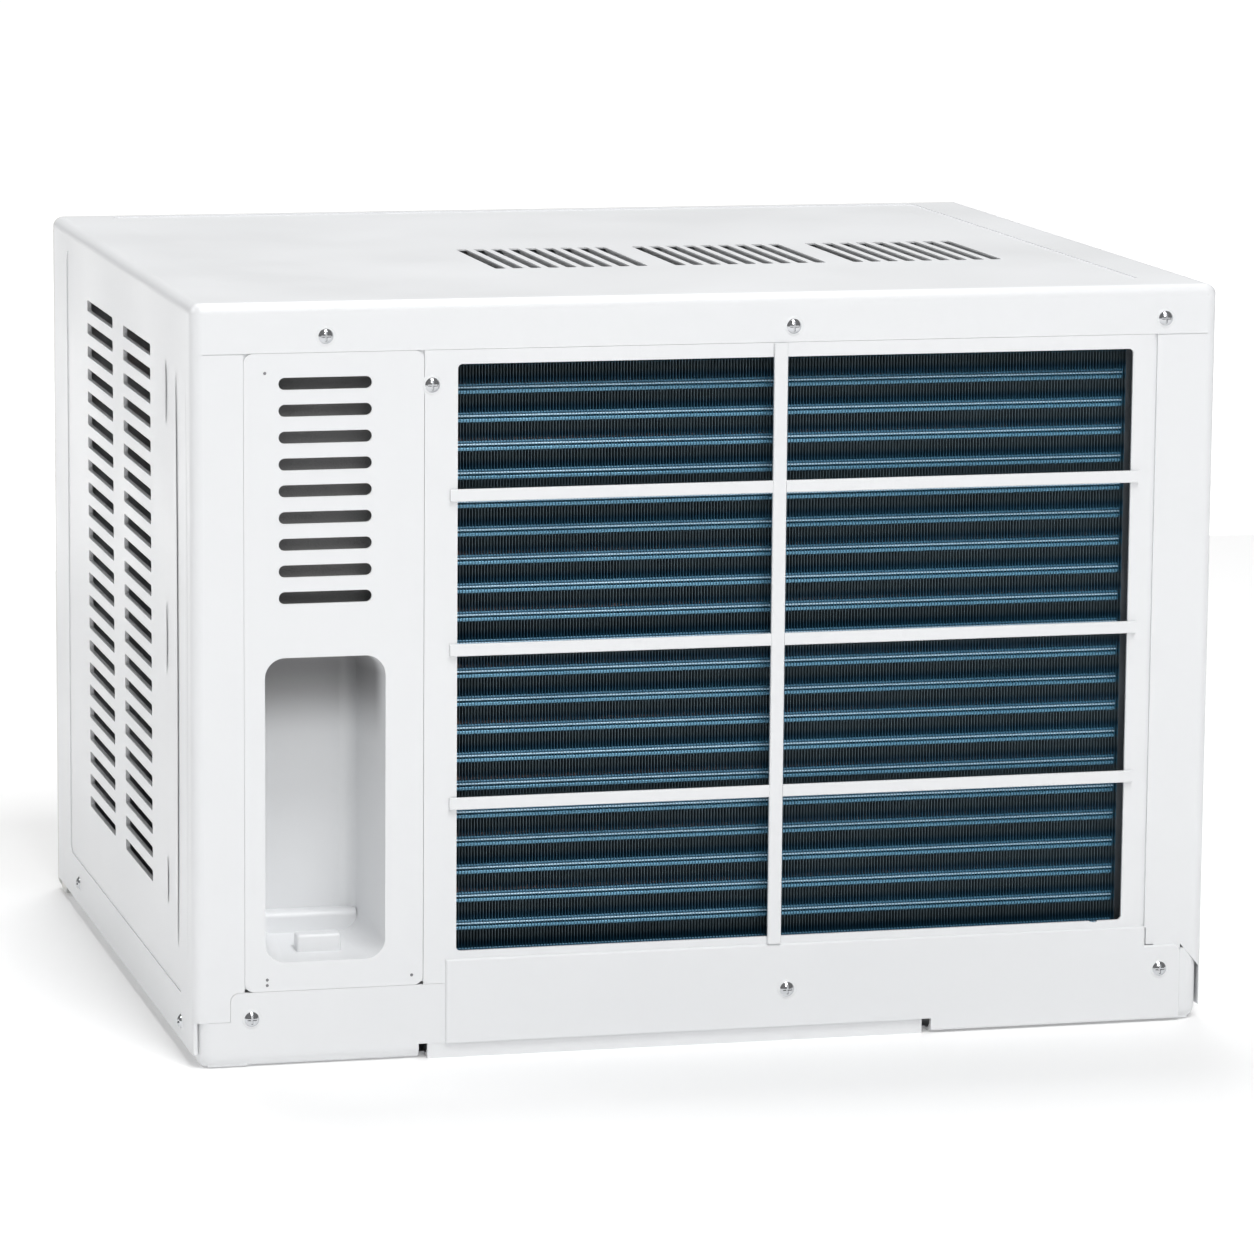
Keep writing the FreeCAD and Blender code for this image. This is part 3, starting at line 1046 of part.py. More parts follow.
def filter_panes(half):
    """The filter's windows as prisms of a half thickness."""
    bar = size.filter_bar
    windows = window_grid((size.filter_grip - size.width / 2, size.filter_right - bar),
                          (size.filter_low + bar, size.filter_high - bar),
                          size.filter_columns, size.filter_rows, bar / 2, bar / 2)
    return [Part.makeBox(across[1] - across[0], 2 * half, up[1] - up[0],
                         Vector(across[0], -size.filter_y - half, up[0])) for across, up in windows]


def air_filter():
    plate = block("filter_plate", (RIGHT, "filter_right"),
                  ("-filter_y - filter_thick/2", "-filter_y + filter_thick/2"), ("filter_low", "filter_high"))
    frame = cut("filter_frame", plate, solid_of("filter_windows", Part.Compound(filter_panes(size.filter_thick))))
    return [frame, solid_of("filter_mesh", Part.Compound(filter_panes(size.filter_mesh / 2)))]


def louvre_frame():
    outer = block("duct_outer", ("-intake_left - duct_wall", "intake_right + duct_wall"),
                  ("bezel_wall - depth/2", "-duct_rear"), ("outlet_low - duct_wall", "outlet_high + duct_wall"))
    hollow = block("duct_hollow", ("-intake_left", "intake_right"), ("-depth/2", "reach - duct_rear"),
                   ("outlet_low", "outlet_high"))
    holes = [rod(f"blade_hole_{n}", "x", ("-blade_y", z), ("-width/2", "width/2"), "pivot_r + shaft_gap")
             for n, z in enumerate(BLADE_Z)]
    holes += [rod(f"vane_hole_{n}", "z", (x, "-vane_y"), ("outlet_low - reach", "outlet_high + reach"),
                  "pivot_r + shaft_gap") for n, x in enumerate(VANE_X)]
    return [cut("louvre_frame", outer, hollow, *holes)]


def louvre_blade(number, z):
    """One horizontal blade: a flat blade on a round pivot, notched where the link bar takes its pin."""
    name = f"louvre_blade_{number}"
    body = doc.addObject("PartDesign::Body", name)
    half = "blade_thick/2"
    flat = sketch_on(body, "YZ_Plane", "2*gap - intake_left")
    draw_rectangle(flat, ("-blade_y - blade_chord/2", "blade_chord/2 - blade_y"), (f"{z} - {half}", f"{z} + {half}"))
    pad(body, flat, "intake_right + intake_left - 4*gap")
    pivot = sketch_on(body, "YZ_Plane", "-intake_left - duct_wall")
    draw_circle(pivot, ("-blade_y", z), "pivot_r")
    pad(body, pivot, "intake_right + intake_left + 2*duct_wall")
    notch = sketch_on(body, "YZ_Plane", "link_in - intake_left - link_thick/2 - link_play")
    draw_rectangle(notch, ("link_back - blade_y - link_notch", "blade_chord - blade_y"), (f"{z} - reach", f"{z} + reach"))
    pocket(body, notch, "link_thick + 2*link_play", reverse=True)
    pin = sketch_on(body, "YZ_Plane", "link_in - intake_left - link_thick/2 - 2*link_play")
    draw_circle(pin, ("link_back - blade_y", z), "link_pin_r")
    pad(body, pin, "link_thick + 4*link_play")
    return body


def louvre_blades():
    return [louvre_blade(n, z) for n, z in enumerate(BLADE_Z, 1)]


def louvre_link():
    y = ("link_back - blade_y - link_width/2", "link_back - blade_y + link_width/2")
    x = ("link_in - intake_left - link_thick/2", "link_in - intake_left + link_thick/2")
    bar = block("link_bar", x, y, (f"{BLADE_Z[0]} - link_width", f"{BLADE_Z[-1]} + link_width"))
    holes = [rod(f"link_hole_{n}", "x", ("link_back - blade_y", z), ("-width/2", "0"), "link_pin_r + shaft_gap")
             for n, z in enumerate(BLADE_Z)]
    return [cut("louvre_link", bar, *holes)]


def vane(number, x):
    """One upright vane: a flat blade on an upright pivot, notched where the tie bar takes its pin."""
    tie_z = "outlet_low + tie_high"
    flat = block(f"vane_flat_{number}", (f"{x} - vane_thick/2", f"{x} + vane_thick/2"),
                 ("-vane_y - vane_chord/2", "vane_chord/2 - vane_y"), ("outlet_low + 2*gap", "outlet_high - 2*gap"))
    pivot = rod(f"vane_pivot_{number}", "z", (x, "-vane_y"), ("outlet_low - duct_wall", "outlet_high + duct_wall"),
                "pivot_r")
    notch = block(f"vane_notch_{number}", (f"{x} - reach", f"{x} + reach"),
                  ("tie_back - vane_y - link_notch", "vane_chord - vane_y"),
                  (f"{tie_z} - link_thick/2 - link_play", f"{tie_z} + link_thick/2 + link_play"))
    pin = rod(f"vane_pin_{number}", "z", (x, "tie_back - vane_y"),
              (f"{tie_z} - link_thick/2 - 2*link_play", f"{tie_z} + link_thick/2 + 2*link_play"), "link_pin_r")
    notched = cut(f"vane_notched_{number}", fuse(f"vane_body_{number}", flat, pivot), notch)
    return fuse(f"vane_{number}", notched, pin)


def vanes():
    return [vane(n, x) for n, x in enumerate(VANE_X, 1)]


def vane_tie_bar():
    tie_z = "outlet_low + tie_high"
    bar = block("tie_bar_plate", (f"{VANE_X[0]} - link_width", f"{VANE_X[-1]} + link_width"),
                ("tie_back - vane_y - link_width/2", "tie_back - vane_y + link_width/2"),
                (f"{tie_z} - link_thick/2", f"{tie_z} + link_thick/2"))
    holes = [rod(f"tie_hole_{n}", "z", (x, "tie_back - vane_y"), ("outlet_low", "outlet_high"),
                 "link_pin_r + shaft_gap") for n, x in enumerate(VANE_X)]
    return [cut("vane_tie_bar", bar, *holes)]


# ---------------------------------------------------------------- controls
def knob(name, z):
    """A round skirt with a straight finger grip, bored for its shaft."""
    body = doc.addObject("PartDesign::Body", name)
    seat = "(depth/2 - desk_deep + gap)"
    skirt = sketch_on(body, "XZ_Plane", seat)
    draw_circle(skirt, ("knob_x", z), "knob_r")
    pad(body, skirt, "knob_skirt")
    grip = sketch_on(body, "XZ_Plane", seat)
    draw_rectangle(grip, ("knob_x - knob_grip/2", "knob_x + knob_grip/2"),
                   (f"{z} - knob_r + gap", f"{z} + knob_r - gap"))
    pad(body, grip, "knob_high")
    bore = sketch_on(body, "XZ_Plane", seat)
    draw_circle(bore, ("knob_x", z), "knob_shaft_r")
    pocket(body, bore, "knob_high - knob_skirt/2", reverse=True)
    return body


def switch_shaft(name, z):
    front = "desk_deep - gap - depth/2 - knob_high + knob_skirt/2"
    return rod(name, "y", ("knob_x", z), (front, f"{DESK_BACK} + shaft_in"), "knob_shaft_r")


def switch_body(name, z, wide, tall, deep):
    """A switch's housing behind the control desk, bored for its shaft."""
    housing = block(name + "_housing", (f"knob_x - {wide}/2", f"knob_x + {wide}/2"),
                    (DESK_BACK, f"{DESK_BACK} + {deep}"), (f"{z} - {tall}/2", f"{z} + {tall}/2"))
    bore = rod(name + "_bore", "y", ("knob_x", z), (f"{DESK_BACK} - reach", f"{DESK_BACK} + shaft_in + gap"),
               "knob_shaft_r + shaft_gap")
    return cut(name, housing, bore)


def controls():
    return [
        knob("mode_knob", "mode_z"),
        knob("thermostat_knob", "warm_z"),
        switch_shaft("mode_shaft", "mode_z"),
        switch_shaft("thermostat_shaft", "warm_z"),
        switch_body("mode_switch", "mode_z", "switch_wide", "switch_tall", "switch_deep"),
        switch_body("thermostat", "warm_z", "thermo_wide", "thermo_tall", "thermo_deep"),
    ]


def control_box():
    outer = block("box_outer", ("box_left", "box_right"), (DESK_BACK, "-wall_y"), ("box_low", "box_high"))
    hollow = block("box_hollow", ("box_left + box_gauge", "box_right - box_gauge"),
                   (f"{DESK_BACK} - reach", "-wall_y - box_gauge"), ("box_low + box_gauge", "box_high - box_gauge"))
    return [cut("control_box", outer, hollow)]


def run_capacitor():
    place = ("-capacitor_y", "box_low + box_gauge + capacitor_r")
    can = rod("capacitor_can", "x", place, ("knob_x - capacitor_long/2", "knob_x + capacitor_long/2"), "capacitor_r")
    terminals = [rod(f"capacitor_terminal_{n}", "x", (f"{way}*capacitor_r/3 - capacitor_y", place[1]),
                     ("knob_x + capacitor_long/2", "knob_x + capacitor_long/2 + link_width"), "link_pin_r")
                 for n, way in enumerate((-1, 1))]
    return [fuse("run_capacitor", can, *terminals)]


def cord_gland():
    place = ("gland_x", "gland_z")
    flange = rod("gland_flange_disc", "y", place, ("-depth/2 - skirt_wall", FRONT), "gland_flange")
    barrel = rod("gland_barrel", "y", place, ("-depth/2 - skirt_wall", "gland_long - depth/2 - skirt_wall"),
                 "gland_r + gland_wall")
    bore = rod("gland_bore", "y", place, ("-depth/2 - reach", "gland_long + reach - depth/2"), "gland_r")
    return [cut("cord_gland", fuse("gland_body", flange, barrel), bore)]


def vent_rod():
    """The pull rod of the fresh-air vent, with its pull in front and its collar behind the damper's arm."""
    place = ("vent_hole_x", "lever_z")
    collar = f"({DAMPER_PIN_Y} + damper_thick/2 + hook_play)"
    stem = rod("vent_stem", "y", place, ("-depth/2 - lever_cap", f"{collar} + hook_thick"), "lever_r")
    pull = rod("vent_pull", "y", place, ("-depth/2 - lever_cap - gap", "-depth/2 - gap"), "lever_cap_r")
    disc = rod("vent_collar", "y", place, (collar, f"{collar} + hook_thick"), "hook_r")
    return [fuse("vent_rod", stem, pull, disc)]


def vent_damper():
    """A flap behind the bulkhead's vent hole, hung from a pin, with a slotted arm above the pin."""
    half_wide = "(vent_hole_wide/2 + damper_lap)"
    y = (f"{DAMPER_PIN_Y} - damper_thick/2", f"{DAMPER_PIN_Y} + damper_thick/2")
    x = (f"vent_hole_x - {half_wide}", f"vent_hole_x + {half_wide}")
    flap = block("damper_flap", x, y, ("vent_hole_z - vent_hole_tall/2 - damper_lap", DAMPER_PIN_Z))
    pin = rod("damper_pin", "x", (DAMPER_PIN_Y, DAMPER_PIN_Z),
              (f"{x[0]} - gap - ear_thick", f"{x[1]} + gap + ear_thick"), "damper_pin_r")
    arm = block("damper_arm", ("vent_hole_x - arm_wide/2", "vent_hole_x + arm_wide/2"), y, (DAMPER_PIN_Z, "arm_top"))
    slot = block("damper_slot", ("vent_hole_x - arm_slot/2", "vent_hole_x + arm_slot/2"),
                 (f"{DAMPER_PIN_Y} - reach", f"{DAMPER_PIN_Y} + reach"), ("arm_slot_low", "arm_top + reach"))
    return [cut("vent_damper", fuse("damper_body", flap, pin, arm), slot)]


# ---------------------------------------------------------------- air path and fan set
def bulkhead():
    rear = "(wall_thick - wall_y)"
    plate = block("bulkhead_plate", (mirrored(PAN_INSIDE), PAN_INSIDE), ("-wall_y", rear),
                  ("pan_gauge", "height - case_gauge - gap"))
    plate = soften("bulkhead_corners", plate, size.pan_bend, lambda edge: (
        runs_along(edge, "y") and lies_at(edge, z=size.pan_gauge)))
    foot = block("bulkhead_foot", ("-bracket_x + 2*bracket_r", "comp_x - foot_ring - plinth_past - gap"),
                 (rear, f"{rear} + wall_flange"), ("pan_gauge", "pan_gauge + wall_thick"))
    ears = []
    for n, way in enumerate((-1, 1)):
        near = f"vent_hole_x + {way}*(vent_hole_wide/2 + damper_lap + gap)"
        far = f"vent_hole_x + {way}*(vent_hole_wide/2 + damper_lap + gap + ear_thick)"
        x = (far, near) if way < 0 else (near, far)
        ears.append(block(f"damper_ear_{n}", x, (rear, f"{DAMPER_PIN_Y} + ear_round"),
                          (f"{DAMPER_PIN_Z} - ear_round", f"{DAMPER_PIN_Z} + ear_round")))
    through = ("-wall_y - reach", f"{rear} + reach/2")
    openings = [
        rod("shaft_hole", "y", ("-rotor_x", "rotor_z"), through, "shaft_hole_r"),
        block("vent_hole", ("vent_hole_x - vent_hole_wide/2", "vent_hole_x + vent_hole_wide/2"), through,
              ("vent_hole_z - vent_hole_tall/2", "vent_hole_z + vent_hole_tall/2")),
        block("arm_hole", ("vent_hole_x - arm_wide/2 - arm_room", "vent_hole_x + arm_wide/2 + arm_room"), through,
              (f"{DAMPER_PIN_Z} - damper_pin_r", "height")),
        block("pipe_pass", ("pipe_pass_x - pipe_pass_wide/2", "pipe_pass_x + pipe_pass_wide/2"), through,
              ("pipe_pass_z - pipe_pass_tall/2", "pipe_pass_z + pipe_pass_tall/2")),
        rod("damper_pin_hole", "x", (DAMPER_PIN_Y, DAMPER_PIN_Z), ("0", "width/2"), "damper_pin_r + shaft_gap"),
    ]
    return [cut("bulkhead", fuse("bulkhead_body", plate, foot, *ears), *openings)]


def scroll_profile(grow, top):
    """The scroll's outline as a face at y = 0: a spiral round the wheel and a throat that opens upwards."""
    centre = Vector(-size.rotor_x, 0, size.rotor_z)
    start, turn = math.radians(size.scroll_start), math.radians(180 + size.scroll_start)
    points = []
    for n in range(17):
        swept = turn * n / 16
        r = size.scroll_near + size.scroll_grow * swept + grow
        points.append(centre + Vector(math.cos(start - swept), 0, math.sin(start - swept)) * r)
    spiral = Part.BSplineCurve()
    spiral.interpolate(points)
    first, last = points[0], points[-1]
    upper_right, upper_left = Vector(first.x, 0, top), Vector(last.x, 0, top)
    straight = [Part.LineSegment(*pair).toShape()
                for pair in ((last, upper_left), (upper_left, upper_right), (upper_right, first))]
    return Part.Face(Part.Wire([spiral.toShape(), *straight]))


def blower_scroll():
    wall, floor = size.scroll_wall, size.outlet_low - size.scroll_wall
    long = size.scroll_front - size.wall_y
    outside = scroll_profile(wall, floor).translated(Vector(0, -size.scroll_front, 0)).extrude(Vector(0, long, 0))
    inside = scroll_profile(0, size.outlet_low + wall).translated(Vector(0, wall - size.scroll_front, 0))
    inside = inside.extrude(Vector(0, long, 0))
    plate = block("scroll_plate", ("-rotor_x - scroll_half", "scroll_half - rotor_x"),
                  ("-scroll_front", "scroll_wall - scroll_front"), ("scroll_low", "outlet_low - scroll_wall"))
    plenum = block("plenum_outer", ("-intake_left - scroll_wall", "intake_right + scroll_wall"),
                   ("-duct_rear", "-wall_y"), ("outlet_low - scroll_wall", "outlet_high + scroll_wall"))
    hollow = block("plenum_hollow", ("-intake_left", "intake_right"), ("-duct_rear - reach", "reach - wall_y"),
                   ("outlet_low", "outlet_high"))
    eye = rod("scroll_inlet", "y", ("-rotor_x", "rotor_z"), ("-scroll_front - reach", "-wall_y"), "scroll_eye")
    notch = block("plenum_notch", ("vent_hole_x - arm_wide/2 - arm_room", "vent_hole_x + arm_wide/2 + arm_room"),
                  ("-wall_y - arm_swing", "-wall_y"), ("outlet_high - reach", "outlet_high + reach"))
    body = fuse("scroll_body", solid_of("scroll_outside", outside), plate, plenum)
    return [cut("blower_scroll", body, solid_of("scroll_inside", inside), hollow, eye, notch)]


def blower_wheel():
    centre = Vector(-size.rotor_x, 0, size.rotor_z)
    front, rear = -size.wheel_front, -size.wheel_rear
    disc = lambda r, low, high: Part.makeCylinder(r, high - low, centre + Vector(0, low, 0), Vector(0, 1, 0))
    hub = disc(size.wheel_hub_r, (front + rear) / 2, rear)
    ring = disc(size.wheel_r, front, front + size.wheel_plate).cut(disc(size.wheel_eye, front - 1, rear))
    blade = Part.makeBox(size.wheel_r - size.wheel_eye + 2, rear - front - size.wheel_plate, size.wheel_blade_thick,
                         Vector(0, front + size.wheel_plate / 2, -size.wheel_blade_thick / 2))
    blade.rotate(Vector(0, 0, 0), Vector(0, 1, 0), size.wheel_blade_tilt)
    blade.translate(Vector(size.wheel_eye + 1, 0, 0))
    rim = disc(size.wheel_r, front, rear)
    blades = []
    for n in range(int(size.wheel_blades)):
        turned = blade.copy()
        turned.rotate(Vector(0, 0, 0), Vector(0, 1, 0), 360 * n / size.wheel_blades)
        blades.append(turned.translated(centre))
    trimmed = Part.Compound([b.common(rim) for b in blades])
    wheel = disc(size.wheel_r, rear - size.wheel_plate, rear).fuse([hub, ring, *trimmed.Solids])
    return [solid_of("blower_wheel", wheel.cut(disc(size.shaft_r, front, rear + 1)).removeSplitter())]


def fan_blade():
    """One blade as a loft between a flat section at the hub and a longer, flatter one at the ring."""
    sections = []
    for r, chord, pitch in ((size.fan_hub_r - 3, size.fan_chord_root, size.fan_pitch_root),
                            (size.fan_r + 1, size.fan_chord_tip, size.fan_pitch_tip)):
        half_c, half_t, angle = chord / 2, size.fan_plate / 2, math.radians(pitch)
        along, across = Vector(0, math.sin(angle), math.cos(angle)), Vector(0, math.cos(angle), -math.sin(angle))
        corners = [Vector(r, 0, 0) + along * (a * half_c) + across * (b * half_t)
                   for a, b in ((-1, -1), (1, -1), (1, 1), (-1, 1))]
        sections.append(Part.makePolygon([*corners, corners[0]]))
    return Part.makeLoft(sections, True, True)


def condenser_fan():
    axis, middle = Vector(0, 1, 0), Vector(-size.rotor_x, 0, size.rotor_z)
    disc = lambda r, low, high: Part.makeCylinder(r, high - low, middle + Vector(0, low, 0), axis)
    hub = disc(size.fan_hub_r, size.fan_front, size.fan_rear)
    hub = hub.makeFillet(4, [e for e in hub.Edges if abs(e.CenterOfMass.y - size.fan_rear) < 0.01
                             and isinstance(e.Curve, Part.Circle)])
    low, high = size.fan_rear - size.fan_ring_wide - 1, size.fan_rear - 1
    ring = disc(size.fan_r + size.fan_ring, low, high).cut(disc(size.fan_r, low - 1, high + 1))
    blade = fan_blade().common(Part.makeCylinder(size.fan_r + 1, 80, Vector(0, -40, 0), axis))
    offset = middle + Vector(0, (size.fan_front + size.fan_rear) / 2, 0)
    blades = []
    for n in range(int(size.fan_blades)):
        turned = blade.copy()
        turned.rotate(Vector(0, 0, 0), axis, 360 * n / size.fan_blades)
        blades.append(turned.translated(offset))
    fan = hub.fuse([ring, *blades]).cut(disc(size.shaft_r, size.fan_front - 1, size.fan_rear + 1))
    return [solid_of("condenser_fan", fan)]


def motor_places():
    """The motor's four studs as (x, z) formulas."""
    angles = [math.radians(angle) for angle in (45, 135, 225, 315)]
    return [(f"motor_bolt_r*{math.cos(a)} - rotor_x", f"rotor_z + motor_bolt_r*{math.sin(a)}") for a in angles]


def fan_motor():
    place = ("-rotor_x", "rotor_z")
    can = rod("motor_can", "y", place, ("-motor_front", "-motor_rear"), "motor_r")
    can = soften("motor_ends", can, size.motor_round, lambda edge: isinstance(edge.Curve, Part.Circle))
    band = rod("motor_flange", "y", place, ("-(motor_front + motor_rear)/2 - link_width",
                                           "link_width - (motor_front + motor_rear)/2"), "motor_r + motor_band")
    neck = rod("motor_necks", "y", place, ("-motor_front - motor_neck", "motor_neck - motor_rear"), "motor_neck_r")
    studs = []
    for n, spot in enumerate(motor_places()):
        studs.append(rod(f"motor_boss_{n}", "y", spot, ("-motor_rear - motor_round", "bracket_y"), "motor_boss_r"))
        studs.append(rod(f"motor_stud_{n}", "y", spot, ("-motor_rear", "motor_stud - motor_rear"), "motor_stud_r"))
    bore = rod("motor_bore", "y", place, ("-motor_front - reach", "reach - motor_rear"), "shaft_r + shaft_gap")
    return [cut("fan_motor", fuse("motor_body", can, band, neck, *studs), bore)]


def motor_bracket():
    y = ("bracket_y", "bracket_y + bracket_gauge")
    half = ("-rotor_x - bracket_half", "bracket_half - rotor_x")
    plate = block("bracket_plate", half, y, ("pan_gauge", "bracket_top"))
    foot = block("bracket_foot_plate", half, ("bracket_y", "bracket_y + bracket_foot"),
                 ("pan_gauge", "pan_gauge + bracket_gauge"))
    ribs = [block(f"bracket_rib_{n}", x, ("bracket_y", "bracket_y + bracket_rib"), ("pan_gauge", "bracket_top"))
            for n, x in enumerate(((half[0], f"{half[0]} + bracket_gauge"), (f"{half[1]} - bracket_gauge", half[1])))]
    through = ("0", "bracket_y + reach")
    holes = [rod(f"bracket_hole_{n}", "y", spot, through, "motor_stud_r + hole_gap")
             for n, spot in enumerate(motor_places())]
    holes.append(rod("bracket_middle", "y", ("-rotor_x", "rotor_z"), through, "bracket_hole_r"))
    return [cut("motor_bracket", fuse("bracket_body", plate, foot, *ribs), *holes)]


def motor_nuts():
    span = ("bracket_y + bracket_gauge", "bracket_y + bracket_gauge + nut_high")
    nuts = [cut(f"motor_nut_{n}", hexagon(f"motor_nut_block_{n}", "y", spot, span, "nut_r"),
                rod(f"motor_nut_bore_{n}", "y", spot, ("0", "motor_front"), "motor_stud_r + thread_gap"))
            for n, spot in enumerate(motor_places())]
    return [group("motor_nuts", *nuts)]


def fan_shaft():
    return [rod("fan_shaft", "y", ("-rotor_x", "rotor_z"), ("-shaft_front", "shaft_rear"), "shaft_r")]


def fan_shroud():
    x = ("-cond_right - fin_thick", "cond_left + fin_thick")
    y = ("shroud_front", "cond_front")
    place, mouth = ("-rotor_x", "rotor_z"), "(fan_r + fan_ring + shroud_gap)"
    box = block("shroud_box", x, y, ("pan_gauge", "cond_high + plate_past"))
    hollow = block("shroud_hollow", (f"{x[0]} + shroud_gauge", f"{x[1]} - shroud_gauge"),
                   ("shroud_front + shroud_gauge", "cond_front + reach"),
                   ("pan_gauge + shroud_gauge", "cond_high + plate_past - shroud_gauge"))
    collar = rod("shroud_collar", "y", place, ("shroud_front - shroud_mouth", "shroud_front + shroud_gauge"),
                 f"{mouth} + shroud_gauge")
    bore = rod("shroud_bore", "y", place, ("shroud_front - shroud_mouth - reach", "shroud_front + reach"), mouth)
    return [cut("fan_shroud", fuse("shroud_body", cut("shroud_shell", box, hollow), collar), bore)]


# ---------------------------------------------------------------- coils
def coil_rows(front, rear, low, high, count):
    """The (y, z) centres of a two-row coil, in the order in which its tubes are joined."""
    quarter, spread = (rear - front) / 4, size.tube_pitch * (count - 1) + size.tube_pitch / 2
    first = (low + high - spread) / 2
    places = []
    for n in range(int(count)):
        places.append((front + quarter, first + size.tube_pitch * n))
        places.append((rear - quarter, first + size.tube_pitch * (n + 0.5)))
    return places


def coil_tubes(places, left, right):
    """One tube that runs to and fro through the coil, with half-round bends outside the end plates."""
    x_axis = Vector(1, 0, 0)
    out = size.fin_thick + size.tube_stub
    low, high = left - out, right + out
    parts = [Part.makeCylinder(size.tube_r, high - low, Vector(low, y, z), x_axis) for y, z in places]
    for n, (here, there) in enumerate(zip(places, places[1:])):
        x, way = (low, -1) if n % 2 == 0 else (high, 1)
        start, end = Vector(x, *here), Vector(x, *there)
        face = Part.Face(Part.Wire([Part.Circle(start, x_axis, size.tube_r).toShape()]))
        axis = (end - start).cross(x_axis) * way
        parts.append(face.revolve((start + end) / 2, axis, -180))
    for y, z in (places[0], places[-1]):
        parts.append(Part.makeCylinder(size.tube_r, size.tube_port, Vector(high, y, z), x_axis))
    return parts[0].fuse(parts[1:]).removeSplitter()


def coil(name, x, y, z, count, foot):
    """A finned coil: its fin pack, its tube and its two end plates."""
    places = coil_rows(*y, *z, count)
    thick = size.fin_thick
    bores = [Part.makeCylinder(size.tube_r + size.coil_gap, x[1] - x[0] + 4 * thick,
                               Vector(x[0] - 2 * thick, *place), Vector(1, 0, 0)) for place in places]
    drill = Part.Compound(bores)
    pack = Part.makeBox(x[1] - x[0], y[1] - y[0], z[1] - z[0], Vector(x[0], y[0], z[0])).cut(drill)
    high = z[1] + size.plate_past
    plates = [Part.makeBox(thick, y[1] - y[0], high - foot, Vector(at, y[0], foot)).cut(drill)
              for at in (x[0] - thick, x[1])]
    return [solid_of(name + "_fins", pack), solid_of(name + "_tube", coil_tubes(places, *x)),
            solid_of(name + "_end_plates", Part.Compound(plates))]


def condenser():
    x = (-size.cond_right, size.cond_left)
    pieces = coil("condenser", x, (size.cond_front, size.cond_rear), (size.cond_low, size.cond_high),
                  size.cond_tubes, size.pan_gauge)
    thick, wide = size.fin_thick, size.cond_flange
    high = size.cond_high + size.plate_past - size.pan_gauge
    flanges = [Part.makeBox(wide, thick, high, Vector(at, size.cond_rear - thick, size.pan_gauge))
               for at in (x[0] - wide, x[1])]
    plates = [plate.fuse(flange).removeSplitter() for plate, flange in zip(pieces[-1].Shape.Solids, flanges)]
    pieces[-1].Shape = Part.Compound(plates)
    return pieces


def evaporator():
    return coil("evaporator", (-size.evap_left, size.evap_right), (-size.evap_front, -size.evap_rear),
                (size.evap_low, size.evap_high), size.evap_tubes, size.pan_lip + size.tray_wall)


def drip_tray():
    x = ("-evap_left - tray_past", "evap_right + tray_past")
    y = ("-evap_front - tray_wall - gap", "tray_wall + gap - evap_rear")
    outer = block("tray_outer", x, y, ("pan_lip", "tray_high"))
    hollow = block("tray_hollow", (f"{x[0]} + tray_wall", f"{x[1]} - tray_wall"),
                   (f"{y[0]} + tray_wall", f"{y[1]} - tray_wall"), ("pan_lip + tray_wall", "tray_high + reach"))
    return [cut("drip_tray", outer, hollow)]


# ---------------------------------------------------------------- compressor and pipes
def suction_direction():
    """From the compressor's axis towards the accumulator, in plan."""
    return Vector(size.acc_x - size.comp_x, -size.acc_y - size.comp_y, 0).normalize()


def compressor():
    axis = ("comp_x", "comp_y")
    shell = rod("comp_shell", "z", axis, ("foot_z + foot_thick/2", "comp_high"), "comp_r")
    shell = soften("comp_domes", shell, size.comp_dome, lambda edge: isinstance(edge.Curve, Part.Circle))
    seam = rod("comp_weld", "z", axis, ("seam_z", "seam_z + seam_high"), "comp_r + comp_seam")
    port = rod("comp_discharge", "z", ("comp_x", "comp_y + port_out"),
               ("comp_high - port_long", "comp_high + port_long"), "port_r")
    way = suction_direction()
    suction = Part.makeCylinder(size.port_r, size.port_long + size.comp_dome,
                                Vector(size.comp_x, size.comp_y, size.suction_z) + way * (size.comp_r - size.comp_dome),
                                way)
    arms = []
    middle = Vector(size.comp_x, size.comp_y, size.foot_z)
    for angle in (180, 60, -60):
        arm = Part.makeBox(size.foot_ring, size.foot_arm, size.foot_thick, Vector(0, -size.foot_arm / 2, 0))
        arm = arm.fuse(Part.makeCylinder(size.foot_arm / 2, size.foot_thick, Vector(size.foot_ring, 0, 0)))
        arm.rotate(Vector(0, 0, 0), Vector(0, 0, 1), angle)
        arms.append(arm.translated(middle))
    feet = arms[0].fuse(arms[1:])
    body = fuse("comp_body", shell, seam, port, solid_of("comp_suction", suction), solid_of("comp_feet", feet))
    holes = [rod(f"comp_foot_hole_{n}", "z", place, ("foot_z - reach/4", "foot_z + foot_thick + reach/4"),
                 "grommet_neck + gap/2") for n, place in enumerate(FEET)]
    return [cut("compressor", body, *holes)]


def grommets_and_nuts():
    top = "(foot_z + foot_thick)"
    grommets, nuts = [], []
    for n, place in enumerate(FEET):
        parts = fuse(f"grommet_body_{n}",
                     rod(f"grommet_pad_{n}", "z", place, ("plinth_high", "foot_z"), "grommet_r"),
                     rod(f"grommet_waist_{n}", "z", place, ("foot_z", top), "grommet_neck"),
                     rod(f"grommet_lip_{n}", "z", place, (top, f"{top} + grommet_cap"), "grommet_r"))
        grommets.append(cut(f"grommet_{n}", parts,
                            rod(f"grommet_bore_{n}", "z", place, ("0", "comp_high"), "foot_stud_r + grommet_gap")))
        span = (f"{top} + grommet_cap", f"{top} + grommet_cap + comp_nut")
        nuts.append(cut(f"comp_nut_{n}", hexagon(f"comp_nut_block_{n}", "z", place, span, "comp_nut_r"),
                        rod(f"comp_nut_bore_{n}", "z", place, ("0", "comp_high"), "foot_stud_r + thread_gap")))
    return [group("compressor_grommets", *grommets), group("compressor_nuts", *nuts)]


